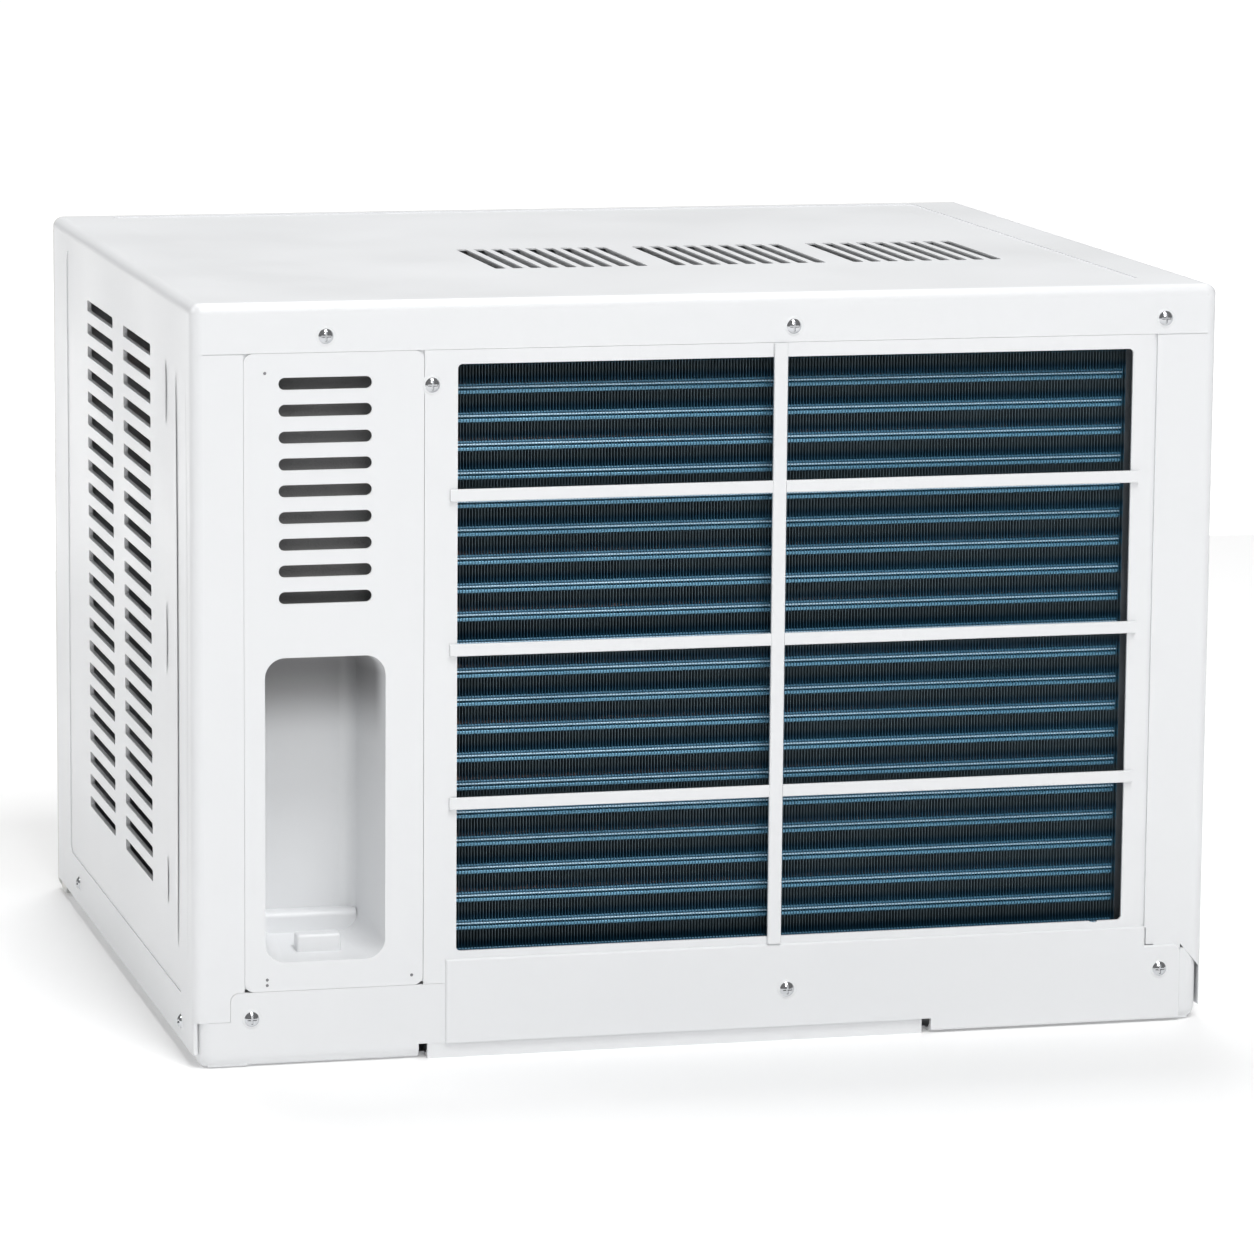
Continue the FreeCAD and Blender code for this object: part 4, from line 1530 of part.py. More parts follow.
def terminal_cover():
    cap = rod("cover_cap", "z", ("comp_x", "comp_y - cover_in"), ("comp_high", "comp_high + cover_high"), "cover_r")
    return [soften("terminal_cover", cap, size.cover_r / 4,
                   lambda edge: lies_at(edge, z=size.comp_high + size.cover_high)
                   and isinstance(edge.Curve, Part.Circle))]


def accumulator():
    place = ("acc_x", "-acc_y")
    can = rod("acc_can", "z", place, ("acc_low", "acc_high"), "acc_r")
    can = soften("acc_domes", can, size.acc_r / 2, lambda edge: isinstance(edge.Curve, Part.Circle))
    ports = rod("acc_ports", "z", place, ("acc_low - port_long", "acc_high + port_long"), "port_r")
    return [fuse("accumulator", can, ports)]


def filter_drier():
    place = ("drier_x", "drier_y")
    can = rod("drier_can", "z", place, ("drier_low", "drier_low + drier_long"), "drier_r")
    can = soften("drier_domes", can, size.drier_r / 2, lambda edge: isinstance(edge.Curve, Part.Circle))
    ports = rod("drier_ports", "z", place, ("drier_low - port_long", "drier_low + drier_long + port_long"), "port_r")
    return [fuse("filter_drier", can, ports)]


def refrigerant_pipes():
    out = size.fin_thick + size.tube_stub + size.tube_port
    cond = coil_rows(size.cond_front, size.cond_rear, size.cond_low, size.cond_high, size.cond_tubes)
    evap = coil_rows(-size.evap_front, -size.evap_rear, size.evap_low, size.evap_high, size.evap_tubes)
    cond_x, evap_x = size.cond_left + out, size.evap_right + out
    comp_y = size.comp_y + size.port_out
    discharge = [Vector(size.comp_x, comp_y, size.comp_high + size.port_long), Vector(size.comp_x, comp_y, cond[-1][1]),
                 Vector(size.comp_x, *cond[-1]), Vector(cond_x, *cond[-1])]
    drier_low = size.drier_low - size.port_long
    liquid = [Vector(cond_x, *cond[0]), Vector(size.drier_x, *cond[0]),
              Vector(size.drier_x, size.drier_y, cond[0][1]), Vector(size.drier_x, size.drier_y, drier_low)]
    riser_y, acc_top = -size.riser_y, size.acc_high + size.port_long
    suction = [Vector(evap_x, *evap[-1]), Vector(size.riser_x, *evap[-1]),
               Vector(size.riser_x, evap[-1][0], size.pass_z), Vector(size.riser_x, riser_y, size.pass_z),
               Vector(size.riser_x, riser_y, size.riser_z), Vector(size.acc_x, -size.acc_y, size.riser_z),
               Vector(size.acc_x, -size.acc_y, acc_top)]
    way = suction_direction()
    end = Vector(size.comp_x, size.comp_y, size.suction_z) + way * (size.comp_r + size.port_long)
    elbow = [Vector(size.acc_x, -size.acc_y, size.acc_low - size.port_long),
             Vector(size.acc_x, -size.acc_y, size.suction_z), end]
    drier_top = size.drier_low + size.drier_long + size.port_long
    capillary = [Vector(size.drier_x, size.drier_y, drier_top), Vector(size.drier_x, size.drier_y, size.cap_z)]
    middle_x, middle_y = size.drier_x - size.cap_half, size.drier_y - size.cap_half
    quarters = 4 * int(size.cap_turns) - 2
    for n in range(quarters):
        x_way, y_way = ((-1, 1), (-1, -1), (1, -1), (1, 1))[n % 4]
        capillary.append(Vector(middle_x + x_way * size.cap_half, middle_y + y_way * size.cap_half,
                                size.cap_z + size.cap_rise * (n + 1)))
    top = size.cap_z + size.cap_rise * (quarters + 1)
    capillary += [Vector(size.cap_x, middle_y - size.cap_half, top),
                  Vector(size.cap_x, riser_y, top), Vector(size.cap_x, riser_y, size.cap_pass_z),
                  Vector(size.cap_x, evap[0][0], size.cap_pass_z), Vector(size.cap_x, *evap[0]),
                  Vector(evap_x, *evap[0])]
    return [solid_of("discharge_pipe", pipe_along(discharge, size.pipe_r, size.pipe_bend)),
            solid_of("liquid_pipe", pipe_along(liquid, size.pipe_r, size.pipe_bend)),
            solid_of("suction_pipe", pipe_along(suction, size.pipe_r, size.pipe_bend)),
            solid_of("suction_elbow", pipe_along(elbow, size.pipe_r, size.pipe_r)),
            solid_of("capillary_tube", pipe_along(capillary, size.cap_r, size.cap_bend))]


# ---------------------------------------------------------------- build and write
MAKERS = (
    base_pan, compressor_plinth, case_wrap, service_panel, condenser_guard, case_screws,
    front_bezel, intake_grille, air_filter, louvre_frame, louvre_blades, louvre_link, vanes, vane_tie_bar,
    controls, control_box, run_capacitor, cord_gland, vent_rod, vent_damper,
    bulkhead, blower_scroll, blower_wheel, fan_motor, motor_bracket, motor_nuts, fan_shaft, condenser_fan,
    fan_shroud, condenser, evaporator, drip_tray,
    compressor, grommets_and_nuts, terminal_cover, accumulator, filter_drier, refrigerant_pipes,
)


def check(pieces):
    """Stops the build if anything in the document failed or a piece has no sound shape."""
    for thing in doc.Objects:
        if {"Invalid", "Error"} & set(thing.State):
            raise ValueError(f"{thing.Name} failed: {thing.State}")
    for piece in pieces:
        if piece.Shape.isNull() or not piece.Shape.isValid() or not piece.Shape.Solids:
            raise ValueError(f"{piece.Label} has no sound shape")


def main():
    pieces = [piece for maker in MAKERS for piece in maker()]
    doc.recompute()
    check(pieces)
    os.makedirs("parts", exist_ok=True)
    for piece in pieces:
        piece.Shape.exportStep(f"parts/{piece.Label}.step")
        print(f"{piece.Label}: {len(piece.Shape.Solids)} solids, {piece.Shape.Volume / 1000:.1f} cm3")
    print(len(pieces), "pieces")


main()
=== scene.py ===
# %% [markdown]
# # A compact window air conditioner, seen from outdoors
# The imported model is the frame: every steel sheet, moulding and pipe is already there at its
# real size. What follows gives each one its finish, swaps the plain coil blocks for real fins
# and sets up a small photographic studio. Each step says what the piece is, how it could be
# made, and why this way was chosen.

# %% Load the frame
import bpy
import json
import math
from mathutils import Matrix, Vector


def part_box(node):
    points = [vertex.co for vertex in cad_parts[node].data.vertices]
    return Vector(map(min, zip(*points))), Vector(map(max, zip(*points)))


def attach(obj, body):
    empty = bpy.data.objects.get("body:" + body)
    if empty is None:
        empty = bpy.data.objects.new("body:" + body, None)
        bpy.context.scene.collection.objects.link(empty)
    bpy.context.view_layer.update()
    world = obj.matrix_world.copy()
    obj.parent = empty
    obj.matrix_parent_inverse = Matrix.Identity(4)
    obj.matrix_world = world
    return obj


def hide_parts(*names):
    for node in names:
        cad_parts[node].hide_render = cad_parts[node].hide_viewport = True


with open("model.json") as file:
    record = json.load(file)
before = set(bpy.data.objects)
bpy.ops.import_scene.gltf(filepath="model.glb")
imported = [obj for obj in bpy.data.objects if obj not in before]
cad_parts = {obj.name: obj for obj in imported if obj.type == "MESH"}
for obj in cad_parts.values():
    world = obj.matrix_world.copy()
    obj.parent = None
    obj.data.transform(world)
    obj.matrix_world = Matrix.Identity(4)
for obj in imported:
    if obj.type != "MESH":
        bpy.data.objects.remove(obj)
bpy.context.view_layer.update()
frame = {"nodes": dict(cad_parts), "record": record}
nodes = frame["nodes"]
MM = 0.001


# %% [markdown]
# ## Helpers for selecting
# Operators act on whatever is selected, so each step starts from a clean selection. Faces and
# edges are then picked by where they are or which way they face, as a person would click them.

# %% Clean selection, picking faces, applying modifiers
def only(piece):
    bpy.ops.object.select_all(action="DESELECT")
    piece.select_set(True)
    bpy.context.view_layer.objects.active = piece


def pick(piece, kind, wanted):
    """Selects the vertices, edges or faces of a piece for which wanted(item) is true."""
    mesh = piece.data
    for part in (mesh.vertices, mesh.edges, mesh.polygons):
        part.foreach_set("select", [False] * len(part))
    items = {"VERT": mesh.vertices, "EDGE": mesh.edges, "FACE": mesh.polygons}[kind]
    items.foreach_set("select", [bool(wanted(item)) for item in items])


def edit(piece, kind, wanted, *steps):
    """Runs edit-mode steps on the chosen elements of a piece."""
    only(piece)
    pick(piece, kind, wanted)
    bpy.ops.object.mode_set(mode="EDIT")
    bpy.ops.mesh.select_mode(type=kind)
    for step in steps:
        step()
    bpy.ops.object.mode_set(mode="OBJECT")


def modified(piece, kind, **settings):
    """Adds a modifier, sets it and applies it."""
    only(piece)
    added = piece.modifiers.new(kind.title(), kind)
    for name, value in settings.items():
        setattr(added, name, value)
    bpy.ops.object.modifier_apply(modifier=added.name)
    return piece


def settle(piece, name):
    """Names a piece and puts its place into its mesh, as a frame node has it."""
    only(piece)
    bpy.ops.object.transform_apply(location=True, rotation=True, scale=True)
    piece.name = piece.data.name = name
    return piece


def slab(low, high):
    """A box between two corners, to start a piece from."""
    low, high = Vector(low), Vector(high)
    bpy.ops.object.select_all(action="DESELECT")
    bpy.ops.mesh.primitive_cube_add(size=1, location=(low + high) / 2)
    piece = bpy.context.object
    piece.scale = high - low
    bpy.ops.object.transform_apply(location=True, rotation=True, scale=True)
    return piece


def joined(pieces, name):
    bpy.ops.object.select_all(action="DESELECT")
    for piece in pieces:
        piece.select_set(True)
    bpy.context.view_layer.objects.active = pieces[0]
    if len(pieces) > 1:
        bpy.ops.object.join()
    return settle(bpy.context.object, name)


# %% [markdown]
# ## Shared effects
# Real paint is never perfectly flat: it has a faint orange-peel skin, and its gloss wanders a
# little from place to place. Two node groups hold those effects, and each material sets its own
# scale and strength. Both read Object coordinates, so the pattern stays put on the piece.

# %% Node group: fine skin
def new_group(name, inputs, outputs):
    group = bpy.data.node_groups.new(name, "ShaderNodeTree")
    for label, start in inputs:
        socket = group.interface.new_socket(label, in_out="INPUT", socket_type="NodeSocketFloat")
        socket.default_value = start
    for label, kind in outputs:
        group.interface.new_socket(label, in_out="OUTPUT", socket_type=kind)
    return group, group.nodes.new("NodeGroupInput"), group.nodes.new("NodeGroupOutput")


def noise_node(tree, scale, detail, roughness=0.5):
    noise = tree.nodes.new("ShaderNodeTexNoise")
    noise.inputs["Scale"].default_value = scale
    noise.inputs["Detail"].default_value = detail
    noise.inputs["Roughness"].default_value = roughness
    return noise


def fine_skin_group():
    """Tiny waves of a sprayed or moulded skin. Puts out a height and a slow-changing mask."""
    group, inside, outside = new_group("fine_skin", [("Scale", 900.0), ("Slow Scale", 14.0)],
                                       [("Height", "NodeSocketFloat"), ("Mask", "NodeSocketFloat")])
    place = group.nodes.new("ShaderNodeTexCoord")
    small, slow = noise_node(group, 900, 2, 0.6), noise_node(group, 14, 4)
    for noise, label in ((small, "Scale"), (slow, "Slow Scale")):
        group.links.new(place.outputs["Object"], noise.inputs["Vector"])
        group.links.new(inside.outputs[label], noise.inputs["Scale"])
    group.links.new(small.outputs["Fac"], outside.inputs["Height"])
    group.links.new(slow.outputs["Fac"], outside.inputs["Mask"])
    return group


FINE_SKIN = fine_skin_group()


# %% Node group: drawn grain
def drawn_grain_group():
    """Long fine streaks, as rolling or turning leaves on bare metal."""
    group, inside, outside = new_group(
        "drawn_grain", [("Along X", 20.0), ("Along Y", 20.0), ("Along Z", 900.0)],
        [("Height", "NodeSocketFloat"), ("Mask", "NodeSocketFloat")])
    place = group.nodes.new("ShaderNodeTexCoord")
    stretch = group.nodes.new("ShaderNodeVectorMath")
    stretch.operation = "MULTIPLY"
    axes = group.nodes.new("ShaderNodeCombineXYZ")
    for label, axis in (("Along X", "X"), ("Along Y", "Y"), ("Along Z", "Z")):
        group.links.new(inside.outputs[label], axes.inputs[axis])
    group.links.new(place.outputs["Object"], stretch.inputs[0])
    group.links.new(axes.outputs[0], stretch.inputs[1])
    streaks, slow = noise_node(group, 1, 3, 0.7), noise_node(group, 30, 3)
    group.links.new(stretch.outputs[0], streaks.inputs["Vector"])
    group.links.new(place.outputs["Object"], slow.inputs["Vector"])
    group.links.new(streaks.outputs["Fac"], outside.inputs["Height"])
    group.links.new(slow.outputs["Fac"], outside.inputs["Mask"])
    return group


DRAWN_GRAIN = drawn_grain_group()


# %% [markdown]
# ## Materials
# One recipe serves most of them: a Principled shader whose colour and gloss drift between two
# values with the slow mask, and whose normal takes the fine height. The numbers make it enamel,
# moulded plastic, rubber or bare metal.

# %% The recipe
def finish_material(name, colour, other, rough, group=None, sizes=(), bump=0.05, depth=0.0001, **fixed):
    """A material that drifts between two colours and two roughnesses, with a fine bump."""
    made = bpy.data.materials.new(name)
    made.use_nodes = True
    made.diffuse_color = (*colour, 1)
    tree = made.node_tree
    shader = tree.nodes["Principled BSDF"]
    effect = tree.nodes.new("ShaderNodeGroup")
    effect.node_tree = group or FINE_SKIN
    for label, value in sizes:
        effect.inputs[label].default_value = value
    mix = tree.nodes.new("ShaderNodeMix")
    mix.data_type = "RGBA"
    mix.inputs["A"].default_value = (*colour, 1)
    mix.inputs["B"].default_value = (*other, 1)
    spread = tree.nodes.new("ShaderNodeMapRange")
    spread.inputs["From Min"].default_value = 0.35
    spread.inputs["From Max"].default_value = 0.65
    spread.inputs["To Min"].default_value = rough[0]
    spread.inputs["To Max"].default_value = rough[1]
    bumps = tree.nodes.new("ShaderNodeBump")
    bumps.inputs["Strength"].default_value = bump
    bumps.inputs["Distance"].default_value = depth
    tree.links.new(effect.outputs["Mask"], mix.inputs["Factor"])
    tree.links.new(effect.outputs["Mask"], spread.inputs["Value"])
    tree.links.new(effect.outputs["Height"], bumps.inputs["Height"])
    tree.links.new(mix.outputs["Result"], shader.inputs["Base Color"])
    tree.links.new(spread.outputs["Result"], shader.inputs["Roughness"])
    tree.links.new(bumps.outputs["Normal"], shader.inputs["Normal"])
    for label, value in fixed.items():
        shader.inputs[label.replace("_", " ")].default_value = value
    return made


MATERIALS = {
    "case_paint": finish_material("white_enamel", (0.83, 0.84, 0.85), (0.80, 0.81, 0.825), (0.30, 0.38),
                                  sizes=[("Scale", 700), ("Slow Scale", 9)], bump=0.12),
    "pan_steel": finish_material("white_enamel_pan", (0.83, 0.84, 0.85), (0.79, 0.80, 0.815), (0.32, 0.42),
                                 sizes=[("Scale", 650), ("Slow Scale", 7)], bump=0.12),
    "screw_steel": finish_material("bright_zinc", (0.66, 0.67, 0.69), (0.52, 0.53, 0.55), (0.10, 0.20),
                                   bump=0.10, Metallic=1.0),
    "front_plastic": finish_material("moulded_front", (0.79, 0.79, 0.77), (0.76, 0.76, 0.74), (0.42, 0.50),
                                     sizes=[("Scale", 1500)], bump=0.35),
    "link_plastic": finish_material("moulded_links", (0.62, 0.62, 0.60), (0.58, 0.58, 0.56), (0.38, 0.48),
                                    bump=0.2),
    "filter_plastic": finish_material("filter_frame_plastic", (0.030, 0.037, 0.045), (0.040, 0.047, 0.055),
                                      (0.42, 0.52), bump=0.2),
    "filter_mesh": finish_material("filter_net_nylon", (0.035, 0.042, 0.05), (0.05, 0.058, 0.066),
                                   (0.45, 0.6)),
    "knob_plastic": finish_material("knob_plastic", (0.70, 0.70, 0.68), (0.66, 0.66, 0.64), (0.22, 0.32),
                                    sizes=[("Scale", 1500)], bump=0.1),
    "shaft_steel": finish_material("ground_steel", (0.55, 0.56, 0.57), (0.46, 0.47, 0.48), (0.20, 0.34),
                                   DRAWN_GRAIN, [("Along Y", 900), ("Along Z", 20)], bump=0.2,
                                   Metallic=1.0),
    "switch_plastic": finish_material("dark_phenolic", (0.018, 0.018, 0.02), (0.028, 0.027, 0.027),
                                      (0.35, 0.5), bump=0.3),
    "sheet_zinc": finish_material("galvanised_sheet", (0.55, 0.57, 0.59), (0.44, 0.46, 0.48), (0.28, 0.46),
                                  sizes=[("Scale", 260), ("Slow Scale", 60)], bump=0.12, Metallic=0.9),
    "can_aluminium": finish_material("drawn_can", (0.72, 0.73, 0.74), (0.63, 0.64, 0.65), (0.22, 0.34),
                                     DRAWN_GRAIN, [("Along X", 25), ("Along Z", 700)], bump=0.2,
                                     Metallic=1.0),
    "black_rubber": finish_material("moulded_rubber", (0.012, 0.012, 0.012), (0.02, 0.02, 0.02),
                                    (0.6, 0.75), bump=0.4),
    "damper_plastic": finish_material("tray_plastic", (0.02, 0.02, 0.022), (0.03, 0.03, 0.032),
                                      (0.4, 0.5), bump=0.3),
    "foam": finish_material("moulded_foam", (0.80, 0.80, 0.77), (0.72, 0.72, 0.69), (0.8, 0.92),
                            sizes=[("Scale", 420)], bump=0.9, depth=0.0004),
    "wheel_plastic": finish_material("fan_plastic", (0.018, 0.019, 0.021), (0.026, 0.027, 0.03),
                                     (0.35, 0.48), bump=0.2),
    "motor_paint": finish_material("motor_enamel", (0.022, 0.022, 0.024), (0.03, 0.03, 0.033),
                                   (0.28, 0.42), bump=0.2),
    "nut_steel": finish_material("plated_nut", (0.58, 0.57, 0.53), (0.48, 0.47, 0.43), (0.22, 0.36),
                                 bump=0.2, Metallic=1.0),
    "fin_aluminium": finish_material("coated_fin_stock", (0.012, 0.030, 0.050), (0.018, 0.042, 0.068),
                                     (0.30, 0.42),
                                     DRAWN_GRAIN, [("Along X", 60), ("Along Y", 60)], bump=0.1,
                                     Metallic=0.55),
    "copper": finish_material("drawn_copper", (0.72, 0.36, 0.22), (0.55, 0.26, 0.16), (0.22, 0.42),
                              bump=0.1,
                              Metallic=1.0),
    "end_steel": finish_material("end_plate_zinc", (0.30, 0.32, 0.34), (0.22, 0.24, 0.26), (0.3, 0.46),
                                 sizes=[("Scale", 260), ("Slow Scale", 60)], bump=0.12, Metallic=0.9),
    "compressor_paint": finish_material("compressor_enamel", (0.014, 0.014, 0.016), (0.024, 0.024, 0.026),
                                        (0.24, 0.40), sizes=[("Scale", 300)], bump=0.25),
    "cover_plastic": finish_material("terminal_cover_plastic", (0.02, 0.02, 0.02), (0.03, 0.03, 0.03),
                                     (0.4, 0.55), bump=0.3),
}
slots_of = {part["node"]: part["material_slot"] for part in frame["record"]["subparts"]}
for name, thing in nodes.items():
    thing.data.materials.clear()
    thing.data.materials.append(MATERIALS[slots_of[name]])
    only(thing)
    bpy.ops.object.shade_smooth_by_angle(angle=math.radians(30))
print("finishes:", len(MATERIALS))

# %% [markdown]
# ## A darker roof in the hand recess
# Little light reaches the recess under its roof, so it should fall dark there. Soft studio
# light bounces about in white paint and leaves it too pale. So the paint itself gets a darker
# tone deep inside and high up: a mask made from depth and height mixes it in on that sheet.
# It belongs to the panel and stays put from every side, but it is a painted tone, not shadow.

# %% Node group: deep and high
def ramp_between(group, source, start, stop):
    """0 at start and 1 at stop along one coordinate."""
    spread = group.nodes.new("ShaderNodeMapRange")
    spread.interpolation_type = "SMOOTHSTEP"
    spread.inputs["From Min"].default_value = start
    spread.inputs["From Max"].default_value = stop
    group.links.new(source, spread.inputs["Value"])
    return spread.outputs["Result"]


def deep_and_high_group():
    """A mask that is 1 under the recess's roof and fades out downwards and towards its mouth."""
    group, _, outside = new_group("deep_and_high", [], [("Mask", "NodeSocketFloat")])
    place = group.nodes.new("ShaderNodeTexCoord")
    split = group.nodes.new("ShaderNodeSeparateXYZ")
    group.links.new(place.outputs["Object"], split.inputs[0])
    product = group.nodes.new("ShaderNodeMath")
    product.operation = "MULTIPLY"
    for socket, axis, start, stop in ((0, "Y", 0.1965, 0.180), (1, "Z", 0.138, 0.172)):
        group.links.new(ramp_between(group, split.outputs[axis], start, stop), product.inputs[socket])
    group.links.new(product.outputs[0], outside.inputs["Mask"])
    return group


def toned_under_roof(material, tone):
    """Mixes a darker tone into a material's colour where the mask says so."""
    tree = material.node_tree
    shader = tree.nodes["Principled BSDF"]
    mask = tree.nodes.new("ShaderNodeGroup")
    mask.node_tree = deep_and_high_group()
    mix = tree.nodes.new("ShaderNodeMix")
    mix.data_type = "RGBA"
    mix.inputs["B"].default_value = (*tone, 1)
    tree.links.new(shader.inputs["Base Color"].links[0].from_socket, mix.inputs["A"])
    tree.links.new(mask.outputs["Mask"], mix.inputs["Factor"])
    tree.links.new(mix.outputs["Result"], shader.inputs["Base Color"])
    return material


PANEL_PAINT = toned_under_roof(finish_material("white_enamel_panel", (0.83, 0.84, 0.85),
                                               (0.80, 0.81, 0.825),
                                             (0.30, 0.38), sizes=[("Scale", 700), ("Slow Scale", 9)],
                                             bump=0.12),
                             (0.30, 0.30, 0.305))
nodes["rear_service_panel"].data.materials[0] = PANEL_PAINT

# %% [markdown]
# ## The coils' fins
# A coil is some two hundred thin sheets of coated metal, 1.4 mm apart, on copper tubes. One
# sheet is modelled and pleated, then an array repeats it along the coil, and the plain block
# that held their place is hidden. The coating is near black. Its colour here is a ramp that
# repeats with height: blue lines at each tube row are painted highlights, the darker bands between them
# painted shade.

# %% Node group: a ramp that repeats with height
TUBE_STEP = 12.7 * MM
TOP_TUBE = 299.65 * MM


def height_bands_group():
    """Colour stops repeated every tube row."""
    group, inside, outside = new_group("painted_row_light_and_shade", [("Foot", TOP_TUBE), ("Step", TUBE_STEP)],
                                       [("Colour", "NodeSocketColor")])
    place = group.nodes.new("ShaderNodeTexCoord")
    split = group.nodes.new("ShaderNodeSeparateXYZ")
    group.links.new(place.outputs["Object"], split.inputs[0])
    steps = []
    for kind in ("SUBTRACT", "DIVIDE", "FRACT"):
        step = group.nodes.new("ShaderNodeMath")
        step.operation = kind
        steps.append(step)
    group.links.new(split.outputs["Z"], steps[0].inputs[0])
    group.links.new(inside.outputs["Foot"], steps[0].inputs[1])
    group.links.new(steps[0].outputs[0], steps[1].inputs[0])
    group.links.new(inside.outputs["Step"], steps[1].inputs[1])
    group.links.new(steps[1].outputs[0], steps[2].inputs[0])
    ramp = group.nodes.new("ShaderNodeValToRGB")
    # The stops are painted light and shade: light blue for the highlights at each tube row, navy and grey
    # for the shade between.
    stops = [(0.0, (0.10, 0.20, 0.28)), (0.12, (0.050, 0.17, 0.27)), (0.30, (0.012, 0.065, 0.12)),
             (0.50, (0.10, 0.145, 0.17)), (0.72, (0.115, 0.16, 0.185)), (0.90, (0.05, 0.19, 0.30))]
    ramp.color_ramp.elements[0].color = (*stops[0][1], 1)
    ramp.color_ramp.elements[1].position = stops[-1][0]
    ramp.color_ramp.elements[1].color = (*stops[-1][1], 1)
    for position, colour in stops[1:-1]:
        ramp.color_ramp.elements.new(position).color = (*colour, 1)
    group.links.new(steps[2].outputs[0], ramp.inputs["Fac"])
    group.links.new(ramp.outputs["Color"], outside.inputs["Colour"])
    return group


ROW_LIGHT_AND_SHADE = height_bands_group()


def banded(material):
    """Takes a material's colour from the painted light and shade of the tube rows."""
    tree = material.node_tree
    bands = tree.nodes.new("ShaderNodeGroup")
    bands.node_tree = ROW_LIGHT_AND_SHADE
    tree.links.new(bands.outputs["Colour"], tree.nodes["Principled BSDF"].inputs["Base Color"])
    return material


COIL_FIN = banded(finish_material("coil_fin_painted_light_and_shade", (0.012, 0.030, 0.050), (0.018, 0.042, 0.068),
                                  (0.34, 0.46),
                                  DRAWN_GRAIN, [("Along X", 60), ("Along Y", 60)], bump=0.1, Metallic=0.3))


# %% One pleated sheet, then the pack
def ridden(piece, name, body, material):
    """Finishes a new piece: its place, its body and its material."""
    piece = settle(piece, name)
    piece.data.materials.clear()
    piece.data.materials.append(material)
    only(piece)
    bpy.ops.object.shade_smooth_by_angle(angle=math.radians(35))
    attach(piece, body)
    return piece


def fin_pack(node, pitch, pleats, wave, name, material):
    """Replaces a solid fin block by thin pleated sheets across it."""
    low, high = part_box(node)
    thick = 0.16 * MM
    sheet = slab((low.x, low.y, low.z), (low.x + thick, high.y, high.z))
    edit(sheet, "EDGE", lambda edge: abs(sheet.data.vertices[edge.vertices[0]].co.y
                                         - sheet.data.vertices[edge.vertices[1]].co.y) > thick,
         lambda: bpy.ops.mesh.subdivide(number_cuts=pleats))
    step = (high.y - low.y) / (pleats + 1)
    edit(sheet, "VERT", lambda v: round((v.co.y - low.y) / step) % 2 == 1,
         lambda: bpy.ops.transform.translate(value=(wave, 0, 0)))
    count = int((high.x - low.x - wave) / pitch)
    modified(sheet, "ARRAY", count=count, use_relative_offset=False, use_constant_offset=True,
             constant_offset_displace=(pitch, 0, 0))
    print(name, "sheets:", count)
    sheet = ridden(sheet, name, "housing", material)
    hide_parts(node)
    return sheet


fin_pack("condenser_fins", 1.4 * MM, 5, 0.5 * MM, "condenser_fin_sheets", COIL_FIN)
fin_pack("evaporator_fins", 1.6 * MM, 5, 0.5 * MM, "evaporator_fin_sheets",
         MATERIALS["fin_aluminium"])

# %% [markdown]
# ## Ripples at the tube rows
# Each sheet is rolled with a ripple at every tube, and from outside the ripples of all the
# sheets line up as bright level lines. Modelled sheet by sheet they would cost a million faces.
# One fine rounded ridge per row, just behind the sheets' edges, gives the same line, still
# crossed by every sheet. Their colours are painted: light blue on the crests is a painted highlight, the
# darker flanks and roots are painted shade.

# %% The ridges
RIPPLES = [
    # name, height over the tube's middle, how tall, how far behind the sheets' edges, colour pair (painted
    # highlight on the crests, painted shade on the roots)
    ("fin_ripple_crests", 0.0, 0.75, 0.25, (0.50, 0.68, 0.80), (0.32, 0.50, 0.64)),
    ("fin_ripple_flanks", -2.1, 1.7, 0.8, (0.20, 0.44, 0.60), (0.11, 0.30, 0.45)),
    ("fin_ripple_roots", 1.0, 1.0, 1.0, (0.08, 0.22, 0.33), (0.05, 0.16, 0.25)),
]


def ripple_rows(name, above, tall, behind, colour, other):
    low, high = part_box("condenser_fins")
    rows = int((TOP_TUBE - low.z) / TUBE_STEP) + 1
    middle, back = TOP_TUBE + above * MM, high.y - behind * MM
    ridge = slab((low.x + 1.5 * MM, back - 1.2 * MM, middle - tall / 2 * MM),
                 (high.x - 1.5 * MM, back, middle + tall / 2 * MM))
    modified(ridge, "BEVEL", width=0.4 * tall * MM, segments=3, limit_method="ANGLE")
    modified(ridge, "ARRAY", count=rows, use_relative_offset=False, use_constant_offset=True,
             constant_offset_displace=(0, 0, -TUBE_STEP))
    # The colour pair is painted light: bright on the crests, darker on the roots.
    finish = finish_material(name + "_painted_light_and_shade", colour, other, (0.30, 0.42), DRAWN_GRAIN,
                             [("Along X", 6), ("Along Z", 500)], bump=0.1, Metallic=0.25)
    return ridden(ridge, name, "housing", finish)


ripples = [ripple_rows(*row) for row in RIPPLES]
print("ripple rows:", len(ripples), "kinds")

# %% [markdown]
# ## Small things on the rear sheets
# The rain baffle behind the top slots gets a grey sheet. Its grey is painted shade, for the
# shade that falls on the baffle behind the slots. Each screw seats in a pressed boss, a low ring that
# catches the light. Rivets hold the service panel's inner frame.

# %% Baffle lining
def stuck_felt(name, low, high, cuts, wave):
    """A grey sheet with a slightly uneven face; its grey is painted shade."""
    shade_sheet = slab(low, high)
    edit(shade_sheet, "FACE", lambda face: abs(face.normal.y) > 0.9,
         lambda: bpy.ops.mesh.subdivide(number_cuts=cuts))
    edit(shade_sheet, "VERT", lambda v: v.co.y > high[1] - 1e-5 and round(v.co.x / wave + v.co.z / wave) % 2 == 0,
         lambda: bpy.ops.transform.translate(value=(0, -0.0003, 0)))
    modified(shade_sheet, "BEVEL", width=0.0004, segments=2, limit_method="ANGLE")
    return ridden(shade_sheet, name, "housing", BAFFLE_SHADE_GREY)
